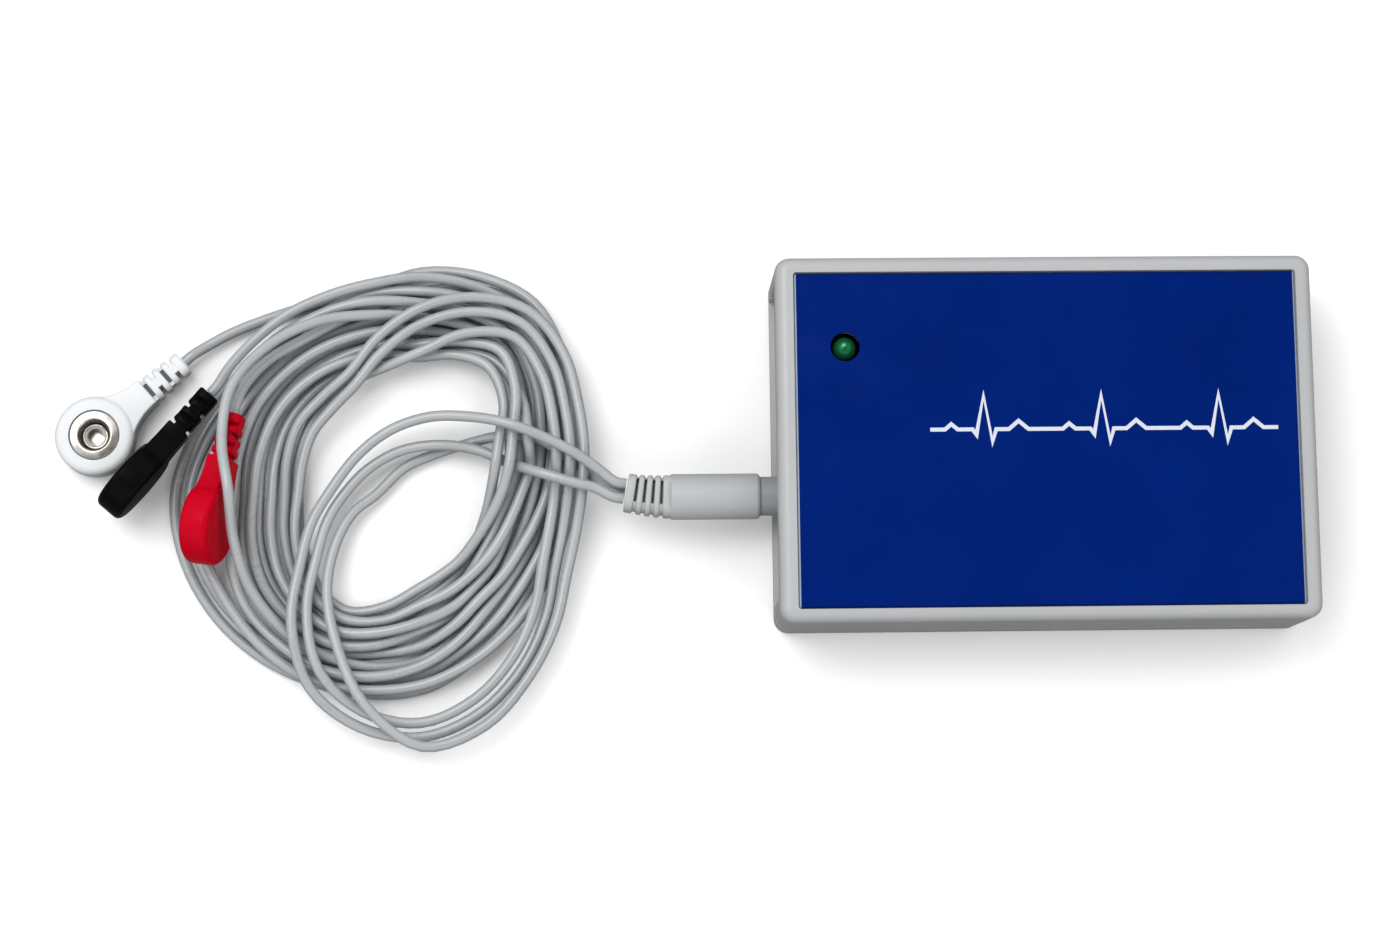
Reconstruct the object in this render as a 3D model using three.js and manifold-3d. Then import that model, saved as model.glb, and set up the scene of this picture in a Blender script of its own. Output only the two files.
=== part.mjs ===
// Pocket heart-signal recorder with its set of three snap leads, laid out on a table.
// Millimetres, +Z up. The origin is the middle of the case's underside, +X runs along the case
// to the end with the port, and +Y runs away from the near long side.
import * as THREE from "three";
import { mergeVertices } from "three/addons/utils/BufferGeometryUtils.js";
import Module from "manifold-3d";

const wasm = await Module();
wasm.setup();

// Sizes that several pieces share
const clear = 0.3; // gap kept between neighbours
const overrun = 1; // how far a cutter runs past what it cuts
const hair = 0.05; // how far the parts of one moulding run into each other

// How finely round forms are cut: flat sides of a full turn, and steps of a rounded edge or corner
const facets = { shank: 10, pilot: 12, boardHead: 14, plain: 16, cup: 20, round: 24, fine: 28 };
const rounding = { single: 1, coarse: 2, plain: 3, smooth: 4, dome: 6, spring: 8 };

// The case: a deep upper shell on a shallow lower shell, with a loose panel in each end
const box = {
  long: 110,
  deep: 74.8,
  high: 26,
  parting: 7.2, // height of the joint between the shells
  wall: 2.2,
  floor: 2,
  roof: 2,
  corner: 3,
  topRound: 2.4,
  footRound: 0.8,
  seamHigh: 0.4, // shadow groove along the joint
  seamDeep: 0.7,
  rim: 1.7, // thickness of the rim round each end opening
  mouthSide: 5, // from the case's side to each end opening
  mouthLow: 3.2,
  mouthDown: 4.5, // from the case's top to the opening
};
const lip = { fromPost: 11.5, base: 1.2, above: 1.8 }; // locating lips of the lower shell
const panel = { thick: 2, side: 1.2, ribThick: 0.9, ribWide: 2.2 };
const label = { end: 3.8, side: 3.1, thick: 0.8, sunk: 0.5, corner: 0.8, bevel: 0.3 };
const post = { fromEnd: 8.5, fromSide: 6.2, upper: 3.5, lower: 4.4, bore: 10.5 };
const caseScrew = {
  head: 2.75,
  headHigh: 2,
  shank: 1.45,
  long: 12,
  slotLong: 3.4,
  slotWide: 0.8,
  slotDeep: 1,
};
const headHole = { radius: 3.1, deep: 3.4 };

// The green lamp in the label's corner
const lamp = { fromEnd: 14.05, fromSide: 18.7, dome: 2.5, flange: 2.95, flangeHigh: 1, high: 8.6, sunk: 0.6 };
const lampHole = 3;
const lampLeg = { thick: 0.5, pitch: 2.54, below: 1.1, hole: 0.7 };
const lampSpacer = { outer: 2.6, bore: 1.9 };

// The circuit board and what stands on it
const board = { endGap: 1.3, sideGap: 0.8, thick: 1.6, corner: 1, standEnd: 10, standSide: 2.8 };
const standoff = { radius: 2.6, high: 4 };
const boardScrew = {
  head: 2,
  headHigh: 1.5,
  shank: 1.1,
  long: 4.6,
  slotLong: 2.6,
  slotWide: 0.6,
  slotDeep: 0.7,
};
const boardHole = 1.4;
const cell = { longShare: 0.5, deepShare: 0.65, high: 6, round: 1.4, fromPort: 1.4 }; // shares of the board
const cellPad = { inset: 4, thick: 0.8 };
const cellGuard = { long: 3.6, inset: 2, high: 1.4 };
const cellWire = { thick: 1.3, bow: 1.6, pitch: 2.5, sides: 8, steps: 6 };
const wireSocket = { long: 7, deep: 8, high: 6, wall: 1, fromGuard: 5.6 };
const wirePlug = { long: 6.6, high: 4 };
const chipLeg = { wide: 0.5, reach: 0.9, high: 0.6 };
// Each chip's place is a share of the way from the lead socket to the battery
const chips = [
  { name: "processor", placeShare: 0.61, long: 10, deep: 10, high: 1.5, legs: 5, pitch: 1.6, allSides: true },
  { name: "amplifier", placeShare: 0.3, long: 5, deep: 4, high: 1.6, legs: 4, pitch: 1.2 },
  { name: "memory", placeShare: 0.62, long: 5.2, deep: 5, high: 1.7, legs: 4, pitch: 1.2 },
];
const crystal = { placeShare: 0.5, long: 11, deep: 4.6, high: 3.5 };

// The port and the push button in the end away from the leads
const port = {
  acrossShare: 0.16,
  wide: 7.7,
  high: 4,
  long: 9.2,
  skin: 0.45,
  back: 1.5,
  proud: 1.3,
  tongueHigh: 1.2,
  tongueShy: 1.6,
};
const key = {
  acrossShare: -0.187,
  z: 12,
  stem: 3.2,
  flange: 4.3,
  flangeThick: 1.6,
  proud: 1.3,
  nub: 1.5,
  nubLong: 0.8,
  travel: 1,
};
const keySwitch = { long: 4, deep: 7, high: 7, tip: 1.6, tipOut: 1.2, tipIn: 1.5 };

// The lead socket and the plug in it, both on one line along X
const jackLine = { acrossShare: -0.1317, z: 11 };
const jack = { long: 13, wide: 9, rise: 3.6, bore: 2.05, slotLong: 1.4, slotWide: 2.6 };
const spring = { thick: 0.6, wide: 2, first: 4, last: 1.8, bar: 0.6 };
const plug = {
  grip: 4.5,
  gripLong: 17.7,
  gripRound: 1.3,
  gripOut: 2.9, // from the case's end to the barrel's shoulder
  nose: 3.9,
  noseHole: 4.3,
  pin: 1.75,
  ringWaist: 1.45,
  sleeveLong: 6,
  insulator: 0.6,
  ringLong: 2.6,
  tipLong: 4,
  tipCone: 1.3,
};
const bend = {
  long: 10,
  turn: 11,
  rings: 5,
  ringLong: 1.3,
  wide: 8,
  high: 7,
  round: 2.2,
  coreWide: 5,
  coreHigh: 4.6,
};

// A snap connector, in its own frame: the metal face looks along +Z and the neck runs along +X
const snap = {
  radius: 8.2,
  thick: 6.2,
  round: 1.3,
  neckFrom: 5,
  neckTo: 13.6,
  neckWide: 12.2,
  neckNarrow: 5.6,
  neckCurve: 8.8, // where the hollow of each flank is drawn to
  neckHigh: 5,
  neckRound: 0.8,
  reliefTo: 23.7,
  reliefWide: 5.6,
  reliefHigh: 4.6,
  reliefRound: 1.2,
  slots: 4,
  slotLong: 0.9,
  slotWide: 3.4,
  web: 1.8,
};
const cup = {
  flange: 5,
  flangeThick: 1,
  barrel: 3.5,
  mouth: 2.95,
  eye: 1.35,
  chamfer: 0.4,
  deep: 4.85,
  base: 0.6,
  proud: 0.15,
};
const cupSpring = { inner: 2.2, thick: 0.6, deep: 2.3, openDegrees: 30 };
// Where the snaps lie: heading of the neck, slope down along it, and roll of the metal face from upwards
const snaps = [
  { name: "white", x: -195.4, y: 4.8, z: 3.12, heading: 40.8, slope: 0, roll: 0, colour: 0xdfe1e4 },
  { name: "black", x: -186.8, y: -5.2, z: 8.48, heading: 49.4, slope: 2, roll: -85, colour: 0x17181a },
  { name: "red", x: -171.1, y: -14.9, z: 12.3, heading: 80.4, slope: 8, roll: -105, colour: 0xc4001e },
];

// The leads. Each turn's middle distance from the coil's middle, every 30 degrees clockwise from +Y
const wire = { thick: 2.2, sides: 6, straight: 2.2 };
const coil = {
  x: -128,
  y: -8,
  perTurn: 12,
  between: 2,
  room: 0.62,
  twist: 0.9,
  weave: 0.9,
  turnRise: 1.9,
  leadRise: 0.3,
};
const turns = [
  [44, 43.5, 33.5, 28.5, 27.5, 30, 36.5, 41.5, 46, 48, 43.5, 41.5],
  [40.5, 39.5, 29.5, 24, 23, 26.5, 33, 38.5, 41.5, 38.5, 39.5, 38.5],
  [36.5, 36, 26, 20.5, 19, 22, 28.5, 35, 35.5, 33, 34, 33.5],
  [31.5, 33.5, 24, 18, 17, 19, 23, 32, 29.5, 27, 28, 28.5],
];
// How far a lead strays from that middle
const swing = [2.2, 2.2, 2, 1.8, 1.9, 2.2, 2.2, 2.2, 2.3, 2.5, 2.4, 2.3];
// The last turn, where the leads lie apart, one row for each lead
const lastTurn = [
  [35.5, 41.4, 34.4, 30.2, 31.6, 41.2, 49.9, 46, 28.5, 19],
  [31.8, 38.6, 31.6, 27.4, 28.8, 38.4, 47.2, 42, 25, 16.2],
  [39, 44.2, 37.2, 33, 34.4, 44, 52.6, 35.5, 20.5, 9.6],
];
// One lead rides over the red snap's neck on its second turn
const rideOver = { lead: 1, from: 20.9, to: 22.1, high: 13 };
// Extra distance of one lead at a single place, where it passes beside or under the red snap
const nudges = [
  { lead: 1, at: 20, out: -2.6 },
  { lead: 1, at: 21, out: -1.3 },
  { lead: 1, at: 22, out: 2.6 },
  { lead: 1, at: 23, out: 1.6 },
  { lead: 0, at: 8, out: 1.2 },
  { lead: 0, at: 9, out: 0.4 },
  { lead: 2, at: 8, out: -0.5 },
  { lead: 2, at: 9, out: 0.5 },
];
// Route from each snap to the coil, and from the coil to the plug
const heads = [
  [[-173.4, 23.2, 2.5], [-167.3, 26.4, 1.4], [-158.7, 29.5, 1.1], [-148.3, 32.2, 1.1], [-138, 34.6, 1.1]],
  [[-167.5, 18, 6.6], [-162.5, 23, 4.4], [-155, 27.9, 2.2], [-146.2, 31.6, 1.5], [-137.5, 33.6, 1.5]],
  [[-164.4, 14.9, 7], [-160.2, 20.2, 5.4], [-153.4, 25, 3.4], [-145.2, 28.4, 2.2], [-137, 30.6, 1.6]],
];
const tails = [
  [[-140.9, 0, 6], [-134, 5.1, 3.5], [-126, 7.5, 2.6], [-118, 7.2, 4.5], [-110, 5.3, 8], [-102.5, 2.5, 10],
    [-96, -0.8, 10.8], [-91.4, -3.9, 11.3]],
  [[-139, -2.4, 6], [-132, 1.6, 3.5], [-124, 3, 2.6], [-116, 2.4, 4.5], [-108.5, 0.3, 8], [-101, -2.7, 9.7],
    [-94.5, -5.9, 10.8], [-91.4, -7.4, 11.3]],
  [[-132, -2.6, 4], [-126, 0, 2.4], [-119, 1.9, 2.2], [-112, 2.7, 5], [-105, 1.4, 8], [-98.5, -1.6, 8.9],
    [-94, -4.4, 8.9], [-91.4, -6.1, 8.9]],
];
const exits = [[1.75, 0.5], [-1.35, 0.5], [0.2, -2.1]]; // across and up on the relief's end face
const settling = {
  rounds: 180,
  drop: 0.35,
  reach: 16,
  refresh: 10, // rounds between two looks for near stretches
  skip: 3, // stretches of one lead that far apart can touch
  held: 2, // points kept in place at each end
  passes: 2,
  pushes: 4,
  keepShare: 0.03,
  fallShare: 0.75, // of the rounds, while the leads still fall
  easeShare: 0.88, // of the rounds, while bends are still evened out
  firmShare: 0.35,
  softShare: 0.1,
};
const snapRoom = 0.65; // between a lead and a snap it passes
const rideRoom = 0.7; // added for the lead on the neck, whose stretches are straight between points
const neckSwell = 5.2; // how fast the neck grows towards the disc, over this share of its length
const neckSwellShare = 0.42;
const parallel = 1e-9; // below it, two stretches run alike
const touching = 1e-6; // keeps a push finite where two middles meet

// Heights and places that follow from the sizes
const roofTop = box.high - label.sunk - label.thick;
const roofUnder = roofTop - box.roof;
const cavityX = box.long / 2 - box.rim;
const cavityY = box.deep / 2 - box.wall;
const panelIn = cavityX - panel.thick;
const boardUnder = box.floor + standoff.high;
const boardTop = boardUnder + board.thick;
const labelTop = roofTop + label.thick;
const lampBase = labelTop - lamp.sunk - lamp.high;
const postX = box.long / 2 - post.fromEnd;
const postY = box.deep / 2 - post.fromSide;
const mouthHalf = box.deep / 2 - box.mouthSide;
const mouthTop = box.high - box.mouthDown;
const labelLong = box.long - 2 * label.end;
const labelDeep = box.deep - 2 * label.side;
const lampX = lamp.fromEnd - box.long / 2;
const lampY = box.deep / 2 - lamp.fromSide;
const boardLong = 2 * (panelIn - board.endGap);
const boardDeep = 2 * (postY - post.lower - board.sideGap);
const standX = boardLong / 2 - board.standEnd;
const standY = boardDeep / 2 - board.standSide;
const jackY = box.deep * jackLine.acrossShare;
const keyY = box.deep * key.acrossShare;
const portY = box.deep * port.acrossShare;
const jackFront = -(panelIn - clear);
const jackBack = jackFront + jack.long;
const jackTop = jackLine.z + jack.rise;
const portFront = panelIn + port.proud;
const portRear = portFront - port.long;
const cellLong = boardLong * cell.longShare;
const cellDeep = boardDeep * cell.deepShare;
const cellX = portRear - cell.fromPort - cellLong / 2;
const cellLeft = cellX - cellLong / 2;
const guardLeft = cellLeft - clear - cellGuard.long;
const wireSocketX = guardLeft - wireSocket.fromGuard - wireSocket.long / 2;

// Solids

function bodyFrom(geometry) {
  geometry.deleteAttribute("normal");
  geometry.deleteAttribute("uv");
  const merged = mergeVertices(geometry);
  const vertProperties = merged.attributes.position.array;
  const triVerts = new Uint32Array(merged.index.array);
  const made = new wasm.Manifold(new wasm.Mesh({ numProp: 3, vertProperties, triVerts }));
  if (made.volume() > 0) return made;
  triVerts.reverse();
  return new wasm.Manifold(new wasm.Mesh({ numProp: 3, vertProperties, triVerts }));
}

function block(x0, x1, y0, y1, z0, z1) {
  const geometry = new THREE.BoxGeometry(x1 - x0, y1 - y0, z1 - z0);
  geometry.translate((x0 + x1) / 2, (y0 + y1) / 2, (z0 + z1) / 2);
  return bodyFrom(geometry);
}

// A round bar along Z
function bar(radius, z0, z1, x, y, sides = facets.plain) {
  const geometry = new THREE.CylinderGeometry(radius, radius, z1 - z0, sides);
  geometry.rotateX(Math.PI / 2);
  geometry.translate(x, y, (z0 + z1) / 2);
  return bodyFrom(geometry);
}

// A round bar along X
function barX(radius, x0, x1, y, z, sides = facets.round) {
  const geometry = new THREE.CylinderGeometry(radius, radius, x1 - x0, sides);
  geometry.rotateZ(Math.PI / 2);
  geometry.translate((x0 + x1) / 2, y, z);
  return bodyFrom(geometry);
}

// A turned piece: its outline is a list of [radius, height] about Z
function turned(outline, sides) {
  const points = outline.map(([radius, height]) => new THREE.Vector2(radius, height));
  const geometry = new THREE.LatheGeometry(points, sides);
  geometry.rotateX(Math.PI / 2);
  return bodyFrom(geometry);
}

function roundedPlan(long, deep, radius) {
  const shape = new THREE.Shape();
  const x = long / 2;
  const y = deep / 2;
  shape.moveTo(radius - x, -y);
  shape.absarc(x - radius, radius - y, radius, -Math.PI / 2, 0);
  shape.absarc(x - radius, y - radius, radius, 0, Math.PI / 2);
  shape.absarc(radius - x, y - radius, radius, Math.PI / 2, Math.PI);
  shape.absarc(radius - x, radius - y, radius, Math.PI, Math.PI * 1.5);
  return shape;
}

// A rounded slab from z0 to z1, its top and bottom edges rounded by round
function slab(long, deep, radius, z0, z1, round, steps = rounding.plain, arcSteps = rounding.smooth) {
  const geometry = new THREE.ExtrudeGeometry(roundedPlan(long, deep, radius), {
    depth: z1 - z0 - 2 * round,
    bevelEnabled: round > 0,
    bevelThickness: round,
    bevelSize: round,
    bevelOffset: -round,
    bevelSegments: steps,
    curveSegments: arcSteps,
  });
  geometry.translate(0, 0, z0 + round);
  return bodyFrom(geometry);
}

function joined(first, ...rest) {
  return rest.reduce((sum, piece) => sum.add(piece), first);
}

function cut(from, ...tools) {
  return tools.reduce((left, tool) => left.subtract(tool), from);
}

function quarterArc(radiusAt, heightAt, round, from, steps) {
  const points = [];
  for (let i = 0; i <= steps; i++) {
    const angle = from + (i * Math.PI) / 2 / steps;
    points.push([radiusAt + round * Math.cos(angle), heightAt + round * Math.sin(angle)]);
  }
  return points;
}

const recorder = new THREE.Group();

function finish(colour, roughness, metalness) {
  return new THREE.MeshStandardMaterial({ color: colour, roughness, metalness, flatShading: true });
}

const shellPlastic = finish(0xbfc3c7, 0.55, 0);
const labelPlastic = finish(0x0a2f86, 0.18, 0);
const lampPlastic = finish(0x0b7a45, 0.12, 0);
const boardResin = finish(0x1f5a34, 0.5, 0);
const blackPlastic = finish(0x1b1c1e, 0.45, 0);
const whitePlastic = finish(0xe4e4df, 0.5, 0);
const steel = finish(0xb8bac0, 0.3, 1);
const nickel = finish(0xc9c3b4, 0.22, 1);
const foilSilver = finish(0xa9adb2, 0.45, 0.3);
const foam = finish(0x3a3a3c, 0.95, 0);
const gripRubber = finish(0xb4b8bd, 0.6, 0);
const noseGrey = finish(0x8f98a3, 0.5, 0);
const leadSleeve = finish(0xa6abb0, 0.5, 0);
const redSleeve = finish(0xb01818, 0.5, 0);

function place(name, solid, material, parent = recorder) {
  const made = solid.getMesh();
  const geometry = new THREE.BufferGeometry();
  geometry.setAttribute("position", new THREE.BufferAttribute(made.vertProperties, 3));
  geometry.setIndex(new THREE.BufferAttribute(made.triVerts, 1));
  const mesh = new THREE.Mesh(geometry, material);
  mesh.name = name;
  parent.add(mesh);
}

const corners = [[-1, -1], [1, -1], [1, 1], [-1, 1]];

// Case

function endMouth(low, top) {
  const reach = box.long / 2 + overrun;
  return block(-reach, reach, -mouthHalf, mouthHalf, low, top);
}

function upperShell() {
  const seamTop = box.parting + box.seamHigh;
  let shell = slab(box.long, box.deep, box.corner, 0, box.high, box.topRound);
  shell = cut(shell, block(-box.long, box.long, -box.deep, box.deep, -overrun, seamTop));
  const footLong = box.long - 2 * box.seamDeep;
  const footDeep = box.deep - 2 * box.seamDeep;
  const foot = slab(footLong, footDeep, box.corner - box.seamDeep, box.parting, seamTop + hair, 0);
  shell = joined(shell, foot);
  shell = cut(shell, block(-cavityX, cavityX, -cavityY, cavityY, 0, roofUnder));
  const postFoot = box.parting + clear;
  for (const [sx, sy] of corners) {
    shell = joined(shell, bar(post.upper, postFoot, roofUnder + hair, sx * postX, sy * postY));
  }
  for (const [sx, sy] of corners) {
    const bore = bar(caseScrew.shank + clear, 0, postFoot + post.bore, sx * postX, sy * postY, facets.pilot);
    shell = cut(shell, bore);
  }
  const trayLong = labelLong + 2 * clear;
  const trayDeep = labelDeep + 2 * clear;
  const trayCorner = label.corner + clear;
  const tray = slab(trayLong, trayDeep, trayCorner, roofTop, box.high + overrun, 0, 0, rounding.coarse);
  const window = bar(lampHole, 0, box.high, lampX, lampY, facets.round);
  return cut(shell, endMouth(0, mouthTop), tray, window);
}

function lowerShell() {
  let shell = slab(box.long, box.deep, box.corner, 0, box.high, box.footRound, rounding.coarse);
  shell = cut(shell, block(-box.long, box.long, -box.deep, box.deep, box.parting, box.high + overrun));
  shell = cut(shell, block(-cavityX, cavityX, -cavityY, cavityY, box.floor, box.high));
  shell = cut(shell, endMouth(box.mouthLow, box.high));
  const ribEnd = panelIn - clear;
  for (const [sx, sy] of corners) {
    const column = bar(post.lower, box.floor - hair, box.parting, sx * postX, sy * postY);
    const stand = bar(standoff.radius, box.floor - hair, boardUnder, sx * standX, sy * standY);
    const ribX = [sx * ribEnd, sx * (ribEnd - panel.ribThick)].sort((a, b) => a - b);
    const ribY = [sy * (cavityY - panel.ribWide), sy * (cavityY + hair)].sort((a, b) => a - b);
    const rib = block(ribX[0], ribX[1], ribY[0], ribY[1], box.floor - hair, box.parting);
    shell = joined(shell, column, stand, rib);
  }
  const lipHalf = postX - lip.fromPost;
  for (const side of [-1, 1]) {
    const outer = side * (cavityY + hair);
    const base = [outer, side * (cavityY - lip.base)].sort((a, b) => a - b);
    const tip = [side * (cavityY - clear), side * (cavityY - lip.base)].sort((a, b) => a - b);
    const low = block(-lipHalf, lipHalf, base[0], base[1], box.floor - hair, box.parting);
    const high = block(-lipHalf, lipHalf, tip[0], tip[1], box.parting - hair, box.parting + lip.above);
    shell = joined(shell, low, high);
  }
  for (const [sx, sy] of corners) {
    const x = sx * postX;
    const y = sy * postY;
    const head = bar(headHole.radius, -overrun, headHole.deep, x, y);
    const shank = bar(caseScrew.shank + clear, 0, box.parting + overrun, x, y, facets.pilot);
    const pilotLow = boardTop - boardScrew.long - clear;
    const pilot = bar(boardHole, pilotLow, box.parting, sx * standX, sy * standY, facets.pilot);
    shell = cut(shell, head, shank, pilot);
  }
  return shell;
}

function endPanel(sign) {
  const x = [sign * cavityX, sign * panelIn].sort((a, b) => a - b);
  const half = mouthHalf + panel.side;
  return block(x[0], x[1], -half, half, box.floor, roofUnder - clear);
}

function labelPlate() {
  const [single, coarse] = [rounding.single, rounding.coarse];
  const plate = slab(labelLong, labelDeep, label.corner, roofTop, labelTop, label.bevel, single, coarse);
  return cut(plate, bar(lampHole, 0, box.high, lampX, lampY, facets.round));
}

place("upper_shell", upperShell(), shellPlastic);
place("lower_shell", lowerShell(), shellPlastic);
const plugHole = barX(plug.noseHole, -box.long, 0, jackY, jackLine.z);
place("lead_end_panel", cut(endPanel(-1), plugHole), shellPlastic);
const portHole = block(
  0, box.long,
  portY - port.wide / 2 - clear, portY + port.wide / 2 + clear,
  boardTop - clear, boardTop + port.high + clear,
);
const keyHole = barX(key.stem + clear, 0, box.long, keyY, key.z);
place("port_end_panel", cut(endPanel(1), portHole, keyHole), shellPlastic);
place("label_plate", labelPlate(), labelPlastic);

// Screws, with a cross slot in each head

function crossSlots(size, x, y, from, to) {
  const long = size.slotLong / 2;
  const wide = size.slotWide / 2;
  return [
    block(x - long, x + long, y - wide, y + wide, from, to),
    block(x - wide, x + wide, y - long, y + long, from, to),
  ];
}

corners.forEach(([sx, sy], i) => {
  const x = sx * postX;
  const y = sy * postY;
  const seat = headHole.deep;
  const low = seat - caseScrew.headHigh;
  const head = bar(caseScrew.head, low, seat, x, y);
  const shank = bar(caseScrew.shank, seat - hair, seat + caseScrew.long, x, y, facets.shank);
  const slots = crossSlots(caseScrew, x, y, low - overrun, low + caseScrew.slotDeep);
  place(`case_screw_${i + 1}`, cut(joined(head, shank), ...slots), steel);
});

corners.forEach(([sx, sy], i) => {
  const x = sx * standX;
  const y = sy * standY;
  const top = boardTop + boardScrew.headHigh;
  const head = bar(boardScrew.head, boardTop, top, x, y, facets.boardHead);
  const shank = bar(boardScrew.shank, boardTop - boardScrew.long, boardTop + hair, x, y, facets.shank);
  const slots = crossSlots(boardScrew, x, y, top - boardScrew.slotDeep, top + overrun);
  place(`board_screw_${i + 1}`, cut(joined(head, shank), ...slots), steel);
});

// Board, lamp and small parts

function circuitBoard() {
  let made = slab(boardLong, boardDeep, board.corner, boardUnder, boardTop, 0, 0, rounding.coarse);
  for (const [sx, sy] of corners) {
    made = cut(made, bar(boardHole, 0, box.high, sx * standX, sy * standY, facets.pilot));
  }
  for (const side of [-1, 1]) {
    const legX = lampX + (side * lampLeg.pitch) / 2;
    made = cut(made, bar(lampLeg.hole, 0, box.high, legX, lampY, facets.shank));
  }
  return made;
}

function lampBody() {
  const shoulder = lampBase + lamp.high - lamp.dome;
  const outline = [
    [0, lampBase],
    [lamp.flange, lampBase],
    [lamp.flange, lampBase + lamp.flangeHigh],
    [lamp.dome, lampBase + lamp.flangeHigh],
    ...quarterArc(0, shoulder, lamp.dome, 0, rounding.dome).slice(0, -1),
    [0, shoulder + lamp.dome],
  ];
  return turned(outline, facets.round).translate([lampX, lampY, 0]);
}

place("circuit_board", circuitBoard(), boardResin);
place("status_lamp", lampBody(), lampPlastic);
const spacerTube = cut(
  bar(lampSpacer.outer, boardTop, lampBase, lampX, lampY),
  bar(lampSpacer.bore, 0, box.high, lampX, lampY),
);
place("lamp_spacer", spacerTube, blackPlastic);
for (const side of [-1, 1]) {
  const x = lampX + (side * lampLeg.pitch) / 2;
  const half = lampLeg.thick / 2;
  const leg = block(x - half, x + half, lampY - half, lampY + half, boardUnder - lampLeg.below, lampBase);
  place(side < 0 ? "lamp_leg_left" : "lamp_leg_right", leg, steel);
}

function bayAt(share) {
  return jackBack + share * (guardLeft - jackBack);
}

// The small pieces stand in bands across the board, with even gaps between them
const [processor, amplifier, memory] = chips;
const bands = [
  { piece: crystal, deep: crystal.deep },
  { piece: processor, deep: processor.deep + 2 * chipLeg.reach },
  { piece: wireSocket, deep: wireSocket.deep },
  { piece: amplifier, deep: amplifier.deep + 2 * chipLeg.reach },
  { piece: memory, deep: memory.deep + 2 * chipLeg.reach },
];
const bandRoom = (boardDeep - bands.reduce((sum, band) => sum + band.deep, 0)) / (bands.length + 1);
const bandAt = new Map();
let bandEdge = -boardDeep / 2;
for (const { piece, deep } of bands) {
  bandAt.set(piece, bandEdge + bandRoom + deep / 2);
  bandEdge += bandRoom + deep;
}

for (const chip of chips) {
  const x = bayAt(chip.placeShare);
  const y = bandAt.get(chip);
  const floor = boardTop + chipLeg.high / 2;
  const halfX = chip.long / 2;
  const halfY = chip.deep / 2;
  let made = block(x - halfX, x + halfX, y - halfY, y + halfY, floor, boardTop + chip.high);
  const legTop = boardTop + chipLeg.high;
  for (let i = 0; i < chip.legs; i++) {
    const along = (i - (chip.legs - 1) / 2) * chip.pitch;
    const half = chipLeg.wide / 2;
    for (const side of [-1, 1]) {
      const legY = [side * (halfY - chipLeg.wide), side * (halfY + chipLeg.reach)].sort((a, b) => a - b);
      const nearX = x + along;
      made = joined(made, block(nearX - half, nearX + half, y + legY[0], y + legY[1], boardTop, legTop));
      if (!chip.allSides) continue;
      const legX = [side * (halfX - chipLeg.wide), side * (halfX + chipLeg.reach)].sort((a, b) => a - b);
      const nearY = y + along;
      made = joined(made, block(x + legX[0], x + legX[1], nearY - half, nearY + half, boardTop, legTop));
    }
  }
  place(`${chip.name}_chip`, made, blackPlastic);
}
const can = slab(crystal.long, crystal.deep, crystal.deep / 2 - hair, boardTop, boardTop + crystal.high, 0);
place("timing_crystal", can.translate([bayAt(crystal.placeShare), bandAt.get(crystal), 0]), steel);

// Battery, on a foam pad, with its guard board, wires, plug and socket

const padTop = boardTop + cellPad.thick;
const padHalfX = cellLong / 2 - cellPad.inset;
const padHalfY = cellDeep / 2 - cellPad.inset;
place("battery_pad", block(cellX - padHalfX, cellX + padHalfX, -padHalfY, padHalfY, boardTop, padTop), foam);
const cellTop = padTop + cell.high;
const cellSteps = rounding.coarse;
const pouch = slab(cellLong, cellDeep, cell.round * 2, padTop, cellTop, cell.round, cellSteps, cellSteps);
place("battery_cell", pouch.translate([cellX, 0, 0]), foilSilver);
const guardTop = padTop + cell.high / 2 + cellGuard.high / 2;
const guardHalf = cellDeep / 2 - cellGuard.inset;
place(
  "battery_guard_board",
  block(guardLeft, cellLeft - clear, -guardHalf, guardHalf, guardTop - cellGuard.high, guardTop),
  boardResin,
);

const wireSocketY = bandAt.get(wireSocket);
const socketTop = boardTop + wireSocket.high;
const socketRight = wireSocketX + wireSocket.long / 2;
const socketPocket = block(
  wireSocketX - wireSocket.long / 2 + wireSocket.wall, socketRight + overrun,
  wireSocketY - wireSocket.deep / 2 + wireSocket.wall, wireSocketY + wireSocket.deep / 2 - wireSocket.wall,
  boardTop + wireSocket.wall, socketTop + overrun,
);
const socketShell = block(
  wireSocketX - wireSocket.long / 2, socketRight,
  wireSocketY - wireSocket.deep / 2, wireSocketY + wireSocket.deep / 2,
  boardTop, socketTop,
);
place("battery_socket", cut(socketShell, socketPocket), whitePlastic);
const plugLeft = wireSocketX - wireSocket.long / 2 + wireSocket.wall + clear;
const plugRight = plugLeft + wirePlug.long;
const plugHalf = wireSocket.deep / 2 - wireSocket.wall - clear;
const plugLow = boardTop + wireSocket.wall + clear;
const plugTop = plugLow + wirePlug.high;
place(
  "battery_plug",
  block(plugLeft, plugRight, wireSocketY - plugHalf, wireSocketY + plugHalf, plugLow, plugTop),
  whitePlastic,
);

// A round wire along a curve, its ends square to the curve
function wireAlong(points, thick, sides, steps) {
  const shape = new THREE.Shape();
  for (let i = 0; i < sides; i++) {
    const angle = (i * 2 * Math.PI) / sides;
    const x = (Math.cos(angle) * thick) / 2;
    const y = (Math.sin(angle) * thick) / 2;
    if (i) shape.lineTo(x, y);
    else shape.moveTo(x, y);
  }
  const path = new THREE.CatmullRomCurve3(points.map((point) => new THREE.Vector3(...point)));
  return bodyFrom(new THREE.ExtrudeGeometry(shape, { extrudePath: path, steps, curveSegments: 1 }));
}

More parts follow.
